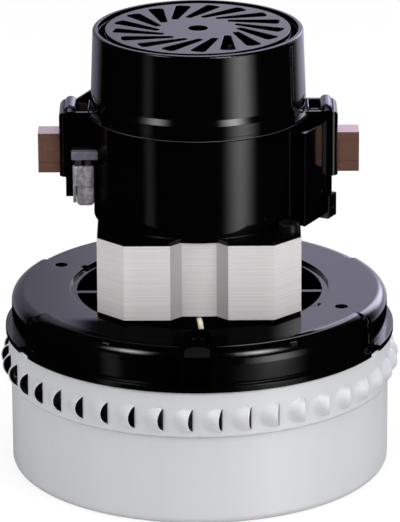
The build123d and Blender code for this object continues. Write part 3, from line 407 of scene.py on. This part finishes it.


# Glossy black with a fine wave and grain. A matt shader takes over by soft windows in the coordinates: on the
# plate before the stator, the front tab, the wall beside the terminal and the floor of the cover's groove.
# The lip of the cover gets a painted highlight in patches, and the bracket's shoulder a thin painted
# highlight line that is stronger to the right
def blackMoulding():
    look = {
        "deep": (0.0002, 0.0002, 0.0002),
        "worn": (0.0012, 0.0011, 0.0012),
        "paintedHighlight": (0.085, 0.083, 0.092),
        "cloud": (35.0, 3.0, 0.5),
        "grain": (1400.0, 2.0, 0.5),
        "wave": (60.0, 2.0, 0.4),
        "rough": 0.10,
        "mattRough": 0.6,
        "mattShare": 0.9,
        "edge": 0.35 * mm,
        "plateAcross": (-46.0 * mm, 32.0 * mm),
        "plateStart": 38.0 * mm,
        "plateLevel": (68.7 * mm, 69.9 * mm),
        "plateShare": 0.97,
        "tabHalf": 9.0 * mm,
        "tabStart": 57.0 * mm,
        "wallAcross": (-41.0 * mm, -30.0 * mm),
        "wallFront": (8.0 * mm, 40.0 * mm),
        "wallLevel": (98.0 * mm, 130.0 * mm),
        "groove": (34.9 * mm, 37.7 * mm),
        "grooveLevel": (166.0 * mm, 171.3 * mm),
        "lip": (41.2 * mm, 41.8 * mm),
        "lipLevel": (139.5 * mm, 139.9 * mm),
        "lipHighlightPatches": (0.25, 0.6),
        "line": (67.55 * mm, 67.95 * mm),
        "lineLevel": (68.3 * mm, 69.3 * mm),
        "lineRight": (6.0 * mm, 18.0 * mm),
        "lineShare": (0.08, 0.92),
    }
    paint = Paint("blackMoulding")
    x, y, z = paint.axes()
    front = y * -1.0
    radius = (x * x + y * y) ** 0.5
    cloud = paint.noise(*look["cloud"])
    grain = paint.noise(*look["grain"])
    wave = paint.noise(*look["wave"])
    plate = paint.window(x, *look["plateAcross"], 7 * mm)
    plate = plate * paint.smooth(front, look["plateStart"] - 3 * mm, look["plateStart"] + 3 * mm)
    plate = plate * paint.window(z, *look["plateLevel"], 0.2 * mm) * look["plateShare"]
    tab = paint.window(x, -look["tabHalf"], look["tabHalf"], 0.5 * mm)
    tab = tab * paint.smooth(front, look["tabStart"], look["tabStart"] + mm)
    wall = paint.window(x, *look["wallAcross"], mm) * paint.window(front, *look["wallFront"], mm)
    wall = wall * paint.window(z, *look["wallLevel"], 3 * mm)
    groove = paint.window(radius, *look["groove"], 0.1 * mm) * paint.window(z, *look["grooveLevel"], 0.1 * mm)
    # painted highlight along the lip, in patches
    lip = paint.window(radius, *look["lip"], 0.1 * mm) * paint.window(z, *look["lipLevel"], 0.1 * mm)
    lip = lip * paint.smooth(cloud, *look["lipHighlightPatches"])
    # thin painted highlight line on the bracket's shoulder, stronger towards the right
    line = paint.window(radius, *look["line"], 0.12 * mm) * paint.window(z, *look["lineLevel"], 0.1 * mm)
    line = line * (look["lineShare"][0] + look["lineShare"][1] * paint.smooth(x, *look["lineRight"]))
    colour = paint.mix(cloud, look["deep"], look["worn"])
    colour = paint.mix(lip, colour, look["paintedHighlight"])
    colour = paint.mix(line, colour, look["paintedHighlight"])
    rough = look["rough"] + (cloud - 0.5) * 0.05 + (grain - 0.5) * 0.03
    normal = paint.bump(wave * 0.8 + grain * 0.05, 0.10, 0.25 * mm, paint.edges(look["edge"]))
    glossy = {"Base Color": colour, "Roughness": rough, "Specular IOR Level": 0.5, "Normal": normal}
    matt = {"Base Color": colour, "Roughness": look["mattRough"], "Specular IOR Level": 0.0, "Normal": normal}
    share = paint.clamp(plate + groove + tab * look["mattShare"] + wall * look["mattShare"])
    return paint.finish(glossy, matt, share)


# Rubbed brass: brown to pale by a noise that is stretched along the tube and a cloud. Windows in height give
# the painted shade of the fold line, the pink top face, which is a painted reflection, and the darker tab
# above it
def brassTube():
    look = {
        "brown": (0.20, 0.098, 0.066),
        "pale": (0.35, 0.19, 0.15),
        "streak": (140.0, 4.0, 0.6),
        "streakStretch": (0.15, 1.0, 1.0),
        "cloud": (80.0, 3.0, 0.6),
        "foldShade": (0.07, 0.032, 0.022),
        "foldLevel": 120.6 * mm,
        "foldHalf": 0.15 * mm,
        "foldShadeShare": 0.55,
        "top": (0.74, 0.58, 0.63),
        "topLevel": 131.95 * mm,
        "topReflectionShare": 0.6,
        "tab": (0.09, 0.06, 0.055),
        "metallic": 0.6,
        "rough": 0.26,
        "roughSpread": 0.2,
        "edge": 0.2 * mm,
    }
    paint = Paint("brassTube")
    z = paint.axes()[2]
    streak = paint.noise(*look["streak"], paint.stretched(look["streakStretch"]))
    cloud = paint.noise(*look["cloud"])
    shade = paint.clamp((streak - 0.5) * 0.9 + (cloud - 0.5) * 0.7 + 0.3)
    level, half = look["foldLevel"], look["foldHalf"]
    foldShade = paint.window(z, level - half, level + half, 0.12 * mm)
    over = z - look["topLevel"]
    colour = paint.mix(shade, look["brown"], look["pale"])
    # painted shade of the fold line across the tube
    colour = paint.mix(foldShade * look["foldShadeShare"], colour, look["foldShade"])
    # painted reflection: the top face and its upper edge are pale pink
    colour = paint.mix(paint.smooth(over, -0.3 * mm, -0.05 * mm) * look["topReflectionShare"], colour, look["top"])
    colour = paint.mix(paint.smooth(over, 0.1 * mm, 0.4 * mm), colour, look["tab"])
    rough = look["rough"] + (cloud - 0.5) * look["roughSpread"]
    normal = paint.bump(streak, 0.15, 0.04 * mm, paint.edges(look["edge"]))
    metallic = look["metallic"]
    return paint.finish({"Base Color": colour, "Metallic": metallic, "Roughness": rough, "Normal": normal})


# Scuffed tin: light and dark by two strong noises. Above a height it is the duller, cooler crimp strap, and
# just under that, over the crimp ears, a painted shade of the gap
def tinnedBrass():
    look = {
        "pale": (0.56, 0.535, 0.57),
        "dark": (0.13, 0.122, 0.135),
        "streak": (650.0, 5.0, 0.7),
        "streakStretch": (1.0, 1.0, 0.45),
        "cloud": (230.0, 3.0, 0.5),
        "strap": (0.16, 0.155, 0.19),
        "strapFoot": 123.6 * mm,
        "strapShare": 0.85,
        "gapShade": (0.012, 0.012, 0.014),
        "gapShadeLevel": (121.4 * mm, 123.7 * mm),
        "gapShadeShare": 0.93,
        "metallic": 0.4,
        "rough": 0.36,
        "roughSpread": 0.24,
        "edge": 0.2 * mm,
    }
    paint = Paint("tinnedBrass")
    z = paint.axes()[2]
    streak = paint.noise(*look["streak"], paint.stretched(look["streakStretch"]))
    cloud = paint.noise(*look["cloud"])
    shade = paint.clamp((streak - 0.5) * 2.4 + (cloud - 0.5) * 1.4 + 0.5)
    strap = paint.smooth(z, look["strapFoot"] - 0.1 * mm, look["strapFoot"] + 0.1 * mm)
    gapShade = paint.window(z, *look["gapShadeLevel"], 0.15 * mm)
    colour = paint.mix(shade, look["dark"], look["pale"])
    colour = paint.mix(strap * look["strapShare"], colour, look["strap"])
    # painted shade of the gap, laid over the crimp ears
    colour = paint.mix(gapShade * look["gapShadeShare"], colour, look["gapShade"])
    rough = look["rough"] + (cloud - 0.5) * look["roughSpread"]
    normal = paint.bump(streak + cloud * 0.5, 0.5, 0.12 * mm, paint.edges(look["edge"]))
    metallic = look["metallic"]
    return paint.finish({"Base Color": colour, "Metallic": metallic, "Roughness": rough, "Normal": normal})


# Plain metal: dark to pale by streaks and a cloud, the streaks stretched where it is ground or turned
def plainMetal(name, pale, dark, rough, scale, stretch=(1.0, 1.0, 1.0), metallic=0.9, edge=0.15 * mm):
    paint = Paint(name)
    streak = paint.noise(scale, 4.0, 0.6, paint.stretched(stretch))
    cloud = paint.noise(scale * 0.4, 3.0, 0.5)
    shade = paint.clamp((streak - 0.5) * 1.2 + (cloud - 0.5) * 0.8 + 0.5)
    colour = paint.mix(shade, dark, pale)
    value = rough + (cloud - 0.5) * 0.2
    normal = paint.bump(streak, 0.2, 0.03 * mm, paint.edges(edge))
    return paint.finish({"Base Color": colour, "Metallic": metallic, "Roughness": value, "Normal": normal})


# Matt moulding, paper or carbon: dark to pale by a cloud, with a fine grain in its relief
def plainMatt(name, pale, dark, rough, scale, bump=0.3):
    paint = Paint(name)
    cloud = paint.noise(scale, 4.0, 0.6)
    fine = paint.noise(scale * 12.0, 2.0, 0.5)
    colour = paint.mix(paint.clamp(cloud * 1.4 - 0.2), dark, pale)
    value = rough + (cloud - 0.5) * 0.15
    normal = paint.bump(fine, bump, 0.04 * mm, paint.edges(0.15 * mm))
    return paint.finish({"Base Color": colour, "Roughness": value, "Normal": normal})


# Enamelled wire: a wave in rings round the shaft gives the turns their shade and relief
def woundWire(name, dark, pale):
    paint = Paint(name)
    wave = paint.node(
        "TexWave",
        {"wave_type": "RINGS", "rings_direction": "Z", "wave_profile": "SIN"},
        {"Vector": paint.place, "Scale": 190.0, "Distortion": 1.2, "Detail": 2.0, "Detail Scale": 3.0},
    )
    turns = Value(paint, wave.outputs["Fac"])
    cloud = paint.noise(90.0)
    colour = paint.mix(paint.clamp(turns * 0.6 + cloud * 0.5), dark, pale)
    normal = paint.bump(turns, 0.6, 0.15 * mm)
    return paint.finish({"Base Color": colour, "Metallic": 0.35, "Roughness": 0.3, "Normal": normal})


# Every CAD node gets its finish. The four that finer pieces share are returned
def paintNodes():
    steel = shellSteel()
    black = blackMoulding()
    tinned = tinnedBrass()
    clipSteel = plainMetal("clipSteel", (0.20, 0.195, 0.22), (0.06, 0.06, 0.068), 0.24, 300.0)
    springSteel = plainMetal("springSteel", (0.50, 0.50, 0.50), (0.30, 0.30, 0.30), 0.3, 200.0)
    turned, ground = (1.0, 1.0, 5.0), (1.0, 1.0, 6.0)  # stretch along the three axes
    finishes = {
        steel: ["fan_shell"],
        black: ["fan_end_bracket", "brush_end_housing", "fan_cover", "lead_socket_right"],
        laminationSteel(): ["stator_core", "armature_core"],
        # painted shade: the field coils' copper is coloured nearly black, as it lies in shadow inside the
        # bracket
        woundWire("coilWireShade", (0.004, 0.002, 0.002), (0.022, 0.010, 0.008)): [
            "field_coil_front", "field_coil_back",
        ],
        woundWire("armatureWire", (0.07, 0.012, 0.006), (0.42, 0.13, 0.05)): ["armature_winding"],
        plainMatt("slotPaper", (0.62, 0.56, 0.42), (0.42, 0.36, 0.25), 0.8, 200.0): ["slot_liners"],
        plainMatt("creamSleeve", (0.66, 0.62, 0.50), (0.50, 0.46, 0.36), 0.75, 900.0, 0.6): ["lead_sleeve"],
        plainMetal("boltSteel", (0.30, 0.30, 0.31), (0.16, 0.16, 0.17), 0.35, 300.0): [
            "shaft_nut", "shaft_washer", "fan_nut",
        ],
        plainMetal("boltBlack", (0.06, 0.058, 0.065), (0.015, 0.015, 0.017), 0.3, 300.0): ["through_bolts"],
        brassTube(): ["brush_tube_left", "brush_tube_right"],
        clipSteel: ["brush_clip_left", "brush_clip_right"],
        tinned: ["lead_terminal_left"],
        plainMetal("groundSteel", (0.56, 0.56, 0.57), (0.42, 0.42, 0.43), 0.22, 500.0, ground): [
            "shaft", "lower_bearing", "upper_bearing",
        ],
        plainMetal("commutatorCopper", (0.72, 0.36, 0.22), (0.42, 0.17, 0.09), 0.28, 300.0, turned): [
            "commutator",
        ],
        plainMatt("commutatorMoulding", (0.10, 0.04, 0.025), (0.05, 0.02, 0.012), 0.5, 150.0): [
            "commutator_core",
        ],
        plainMetal("sheetAluminium", (0.66, 0.67, 0.68), (0.50, 0.51, 0.52), 0.34, 120.0): [
            "lower_impeller_shroud", "lower_impeller_vanes", "lower_impeller_plate",
            "upper_impeller_shroud", "upper_impeller_vanes", "upper_impeller_plate",
            "diffuser_plate", "stage_diffuser", "impeller_spacer", "bearing_spacer",
        ],
        plainMatt("fanMoulding", (0.030, 0.030, 0.033), (0.014, 0.014, 0.016), 0.4, 90.0): ["cooling_fan"],
        plainMatt("brushCarbon", (0.035, 0.035, 0.037), (0.012, 0.012, 0.013), 0.55, 600.0): [
            "carbon_brush_left", "carbon_brush_right",
        ],
        springSteel: ["brush_spring_left", "brush_spring_right"],
    }
    for material, names in finishes.items():
        for name in names:
            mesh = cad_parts[name].data
            mesh.materials.clear()
            mesh.materials.append(material)
    return steel, tinned, clipSteel, springSteel


# Mesh helpers
def meshObject(name, points, faces):
    mesh = bpy.data.meshes.new(name)
    mesh.from_pydata(points.tolist(), [], faces)
    mesh.validate()
    made = bpy.data.objects.new(name, mesh)
    bpy.context.scene.collection.objects.link(made)
    return made


# Faces between neighbours on a grid of point numbers
def gridFaces(index):
    corners = [index[:-1, :-1], index[1:, :-1], index[1:, 1:], index[:-1, 1:]]
    return np.stack(corners, axis=-1).reshape(-1, 4)


# The same on a tube, whose last column is followed by its first
def tubeFaces(index):
    after = np.roll(index, -1, axis=1)
    return np.stack([index[:-1], after[:-1], after[1:], index[1:]], axis=-1).reshape(-1, 4)


def mergeDoubles(mesh, distance):
    work = bmesh.new()
    work.from_mesh(mesh)
    bmesh.ops.remove_doubles(work, verts=work.verts, dist=distance)
    work.to_mesh(mesh)
    work.free()


def shadeSmooth(made, degrees):
    mesh = made.data
    mesh.polygons.foreach_set("use_smooth", [True] * len(mesh.polygons))
    mesh.set_sharp_from_angle(angle=math.radians(degrees))


# Louvred band: a wall of steady radius, raised behind each mouth into a hood that dies away
band = {
    "radius": 73.3 * mm,
    "low": 35.4 * mm,
    "high": 53.2 * mm,
    "count": 42,
    "firstTurn": -2.2,
    "middle": 42.05 * mm,
    "halfHeight": 4.55 * mm,
    "tailShare": 0.5,
    "length": 8.0 * mm,
    "reach": 3.02 * mm,
    "lean": 1.5 * mm,
    "sheet": 0.4 * mm,
    "fallPower": 1.5,
    "section": 0.62,
    "sectionTail": 1.2,
    "bunch": 0.8,
    "alongFlat": 5,
    "alongHood": 18,
    "acrossHood": 20,
    "acrossWall": 5,
    "merge": 0.002 * mm,
    "sharp": 50,
}


# One pitch of the band, from the flat behind a hood to its mouth. The rows follow the hood's outline, which
# widens from the tail as a quarter ellipse does. Rise is the reach times a cosine fall along the hood to a
# power, times one less the square of the place across it to a power that grows towards the tail. The mouth
# leans back as it rises
def louvreStrip(settings):
    pitch = 2 * math.pi / settings["count"]
    arc = pitch * settings["radius"]
    flat = np.linspace(arc, settings["length"], settings["alongFlat"], endpoint=False)
    hood = settings["length"] * (1 - np.linspace(0, 1, settings["alongHood"]) ** settings["bunch"])
    behind = np.concatenate([flat, hood])
    share = np.clip(behind / settings["length"], 0, 1)
    back = np.clip((behind - settings["length"]) / (arc - settings["length"]), 0, 1)
    tail = settings["halfHeight"] * settings["tailShare"]
    half = tail + (settings["halfHeight"] - tail) * np.sqrt(1 - share**2)
    half = half + (settings["halfHeight"] - tail) * back
    fall = np.cos(share * math.pi / 2) ** settings["fallPower"]
    across = np.sin(np.linspace(-math.pi / 2, math.pi / 2, settings["acrossHood"]))
    section = (1 - across[None, :] ** 2) ** (settings["section"] + settings["sectionTail"] * share[:, None])
    rise = settings["reach"] * fall[:, None] * section
    heightHood = settings["middle"] + half[:, None] * across[None, :]
    below = np.linspace(0, 1, settings["acrossWall"], endpoint=False)
    lowRows = settings["low"] + (heightHood[:, :1] - settings["low"]) * below[None, :]
    highRows = settings["high"] + (heightHood[:, -1:] - settings["high"]) * below[None, ::-1]
    height = np.concatenate([lowRows, heightHood, highRows], axis=1)
    wall = np.zeros((len(behind), settings["acrossWall"]))
    rise = np.concatenate([wall, rise, wall], axis=1)
    lean = settings["lean"] * rise / settings["reach"] * (1 - share[:, None])
    turn = -(behind[:, None] + lean) / settings["radius"]
    return turn, settings["radius"] + rise, height


# The strip is repeated round the shaft, its doubles are merged, and the wall gets its thickness inwards
def addLouvreBand(settings, steel, inside):
    turn, radius, height = louvreStrip(settings)
    count = settings["count"]
    starts = math.radians(settings["firstTurn"] - 90) + 2 * math.pi * np.arange(count) / count
    angle = starts[:, None, None] + turn[None]
    reach = np.broadcast_to(radius[None], angle.shape)
    level = np.broadcast_to(height[None], angle.shape)
    points = np.stack([reach * np.cos(angle), reach * np.sin(angle), level], axis=-1).reshape(-1, 3)
    quads = gridFaces(np.arange(turn.size).reshape(turn.shape))
    faces = (quads[None] + (np.arange(count) * turn.size)[:, None, None]).reshape(-1, 4)
    made = meshObject("louvreBand", points, faces.tolist())
    mergeDoubles(made.data, settings["merge"])
    made.data.materials.append(steel)
    made.data.materials.append(inside)
    shadeSmooth(made, settings["sharp"])
    wall = made.modifiers.new("sheet", "SOLIDIFY")
    wall.thickness = settings["sheet"]
    wall.offset = -1
    # the inner face of the band takes the painted shade material
    wall.material_offset = 1
    wall.material_offset_rim = 0
    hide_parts("louvre_band")
    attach(made, "motor_body")


# Push-on terminal: crimp strap, crimped ears, ribbed barrel, tongue and a thin side plate
terminal = {
    # lowest and highest corner in mm, rounding of the ends in mm, exponent of the section, share of the ribs
    "blocks": {
        "strap": ((-47.9, -12.7, 123.7), (-37.8, -9.2, 127.0), 0.5, 9.0, 0.0),
        "earLeft": ((-46.7, -12.5, 120.2), (-43.9, -10.3, 124.2), 0.9, 2.4, 0.0),
        "earRight": ((-42.9, -12.3, 120.2), (-40.3, -10.3, 123.4), 0.9, 2.4, 0.0),
        "barrel": ((-47.0, -12.9, 113.2), (-39.5, -9.4, 121.3), 0.9, 3.4, 0.022),
        "tongue": ((-45.9, -12.3, 105.5), (-39.5, -9.9, 114.0), 1.6, 3.0, 0.012),
        "sidePlate": ((-47.4, -12.0, 106.8), (-46.1, -9.4, 121.2), 0.35, 6.0, 0.0),
    },
    "ribCount": 22,
    "narrowest": 0.9,
    "around": 72,
    "roundRows": 7,
    "levelRows": 12,
    "sharp": 45,
}


# Section is a superellipse, its size times one plus a small cosine for the ribs. Each end rounds over in a
# quarter circle, by less than the block is thick, and closes in a fan. Point numbers start at the first
def softBlock(block, first, settings):
    lowest, highest, rounding, power, rib = block
    low, high, rounding = np.array(lowest) * mm, np.array(highest) * mm, rounding * mm
    middle, half = (low + high) / 2, (high - low) / 2
    turn = np.linspace(0, 2 * math.pi, settings["around"], endpoint=False)
    ribbed = 1 + rib * np.cos(settings["ribCount"] * turn)
    across = np.sign(np.cos(turn)) * np.abs(np.cos(turn)) ** (2 / power) * ribbed
    along = np.sign(np.sin(turn)) * np.abs(np.sin(turn)) ** (2 / power) * ribbed
    bend = np.linspace(0, math.pi / 2, settings["roundRows"])
    narrow = 1 - np.sin(bend)
    inset = rounding * np.concatenate([narrow, np.zeros(settings["levelRows"]), narrow[::-1]])
    edge = rounding * (1 - np.cos(bend))
    level = np.linspace(low[2] + edge[-1], high[2] - edge[-1], settings["levelRows"] + 2)[1:-1]
    height = np.concatenate([low[2] + edge, level, high[2] - edge[::-1]])
    sizeX = half[0] - np.minimum(inset, half[0] * settings["narrowest"])
    sizeY = half[1] - np.minimum(inset, half[1] * settings["narrowest"])
    x = middle[0] + sizeX[:, None] * across[None, :]
    y = middle[1] + sizeY[:, None] * along[None, :]
    z = np.broadcast_to(height[:, None], x.shape)
    ends = np.array([[middle[0], middle[1], low[2]], [middle[0], middle[1], high[2]]])
    points = np.concatenate([np.stack([x, y, z], axis=-1).reshape(-1, 3), ends])
    index = first + np.arange(x.size).reshape(x.shape)
    after = np.roll(index, -1, axis=1)
    poles = np.broadcast_to(first + x.size, after[0].shape)
    foot = np.stack([poles, after[0], index[0]], axis=-1)
    head = np.stack([poles + 1, index[-1], after[-1]], axis=-1)
    return points, tubeFaces(index).tolist() + foot.tolist() + head.tolist()


def addTerminal(settings, tinned):
    points, faces = np.zeros((0, 3)), []
    for block in settings["blocks"].values():
        more, walls = softBlock(block, len(points), settings)
        points = np.concatenate([points, more])
        faces += walls
    made = meshObject("leadTerminal", points, faces)
    made.data.materials.append(tinned)
    shadeSmooth(made, settings["sharp"])
    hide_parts("lead_terminal_left")
    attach(made, "motor_body")


# Sprung clips in the brush pockets: one bent strip with a rolled outer end
clip = {
    "upright": 41.3 * mm,
    "uprightTop": 142.2 * mm,
    "strapLevel": 132.45 * mm,
    "bend": 0.9 * mm,
    "leg": 46.1 * mm,
    "rollLevel": 141.0 * mm,
    "rollRadius": 2.2 * mm,
    "rollTurn": 290.0,
    "curl": 0.35 * mm,
    "half": 6.6 * mm,
    "strapFront": -3.0 * mm,
    "sheet": 0.55 * mm,
    "rows": 9,
    "rollRows": 40,
    "columns": 11,
    "sharp": 40,
}


# Strip's path in the plane of distance from the shaft and height: down the upright, along the strap, up the
# leg and round the roll, whose radius shrinks evenly with its turn. Bends are quarter circles. The second
# result tells the rows of the strap, whose front edge lies further back
def clipPath(settings):
    inner, outer, bend = settings["upright"], settings["leg"], settings["bend"]
    top, low, rollLow = settings["uprightTop"], settings["strapLevel"], settings["rollLevel"]
    quarter = np.linspace(0, math.pi / 2, settings["rows"])
    straight = np.linspace(0, 1, settings["rows"])
    down = np.stack([inner + 0 * straight, top + (low + bend - top) * straight], 1)
    first = np.stack([inner + bend * (1 - np.cos(quarter)), low + bend * (1 - np.sin(quarter))], 1)
    along = np.stack([inner + bend + (outer - inner - 2 * bend) * straight, low + 0 * straight], 1)
    second = np.stack([outer - bend * (1 - np.sin(quarter)), low + bend * (1 - np.cos(quarter))], 1)
    up = np.stack([outer + 0 * straight, low + bend + (rollLow - low - bend) * straight], 1)
    turn = np.linspace(0, math.radians(settings["rollTurn"]), settings["rollRows"])
    reach = settings["rollRadius"] - settings["curl"] * turn / turn[-1]
    middle = outer + settings["rollRadius"]
    roll = np.stack([middle - reach * np.cos(turn), rollLow + reach * np.sin(turn)], 1)
    parts = [down, first[1:], along[1:], second[1:], up[1:], roll[1:]]
    isStrap = np.repeat([False, False, True, False, False, False], [len(part) for part in parts])
    return np.concatenate(parts), isStrap


# The path is swept from front to back and thickened to both sides. The left clip is the right one's mirror
# image, so its faces are numbered the other way round
def addClips(settings, finish):
    path, isStrap = clipPath(settings)
    front = np.where(isStrap, settings["strapFront"], -settings["half"])
    share = np.linspace(0, 1, settings["columns"])
    y = front[:, None] + (settings["half"] - front)[:, None] * share[None, :]
    z = np.broadcast_to(path[:, 1:], y.shape)
    quads = gridFaces(np.arange(y.size).reshape(y.shape))
    for side, sign in {"left": -1, "right": 1}.items():
        x = sign * np.broadcast_to(path[:, :1], y.shape)
        points = np.stack([x, y, z], axis=-1).reshape(-1, 3)
        made = meshObject("clipStrip_" + side, points, quads[:, ::sign].tolist())
        made.data.materials.append(finish)
        shadeSmooth(made, settings["sharp"])
        sheet = made.modifiers.new("sheet", "SOLIDIFY")
        sheet.thickness = settings["sheet"]
        sheet.offset = 0
        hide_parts("brush_clip_" + side)
        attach(made, "motor_body")


# Brush springs: coils that are closed at both ends, carried with their brush
spring = {
    "wire": 0.4 * mm,
    "turns": 8.5,
    "closedShare": 0.13,
    "stepsPerTurn": 30,
    "around": 12,
    "travel": 10.0 * mm,
    "sharp": 40,
}


# Centre line is a helix inside the box of the CAD spring, whose advance is slow over the closed share at each
# end. A circle of wire is carried along it, square to its direction
def springCoil(low, high, settings):
    wire, turns = settings["wire"], settings["turns"]
    middle, length = (low + high) / 2, high[0] - low[0] - 2 * wire
    reach = (high[2] - low[2]) / 2 - wire
    share = np.linspace(0, 1, int(settings["stepsPerTurn"] * turns))
    closed = settings["closedShare"]
    slow = closed * 2 * wire / (length / turns)
    advance = np.interp(share, [0, closed, 1 - closed, 1], [0, slow, 1 - slow, 1])
    turn = 2 * math.pi * turns * share
    outward = np.stack([0 * turn, np.cos(turn), np.sin(turn)], 1)
    centre = middle + reach * outward
    centre[:, 0] = low[0] + wire + length * advance
    along = np.gradient(centre, axis=0)
    along /= np.linalg.norm(along, axis=1)[:, None]
    side = np.cross(along, outward)
    ring = np.linspace(0, 2 * math.pi, settings["around"], endpoint=False)
    tube = np.cos(ring)[None, :, None] * outward[:, None] + np.sin(ring)[None, :, None] * side[:, None]
    points = (centre[:, None] + wire * tube).reshape(-1, 3)
    index = np.arange(len(points)).reshape(len(share), -1)
    return points, tubeFaces(index).tolist() + [index[0, ::-1].tolist(), index[-1].tolist()]


def addSprings(settings, finish):
    for side in ("left", "right"):
        low, high = (np.array(corner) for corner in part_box("brush_spring_" + side))
        made = meshObject("pressureSpring_" + side, *springCoil(low, high, settings))
        made.data.materials.append(finish)
        shadeSmooth(made, settings["sharp"])
        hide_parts("brush_spring_" + side)
        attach(made, "brush_" + side)
        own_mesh(made)


addCamera(camera)
addFloor(studio)
addLights(studio)
print("studio ready")

steel, tinned, clipSteel, springSteel = paintNodes()
print("finishes ready")

addLouvreBand(band, steel, shellInsideShade())
print("louvre band ready")

addTerminal(terminal, tinned)
addClips(clip, clipSteel)
addSprings(spring, springSteel)
print("terminal, clips and springs ready")

bpy.context.scene.view_settings.view_transform = "Standard"
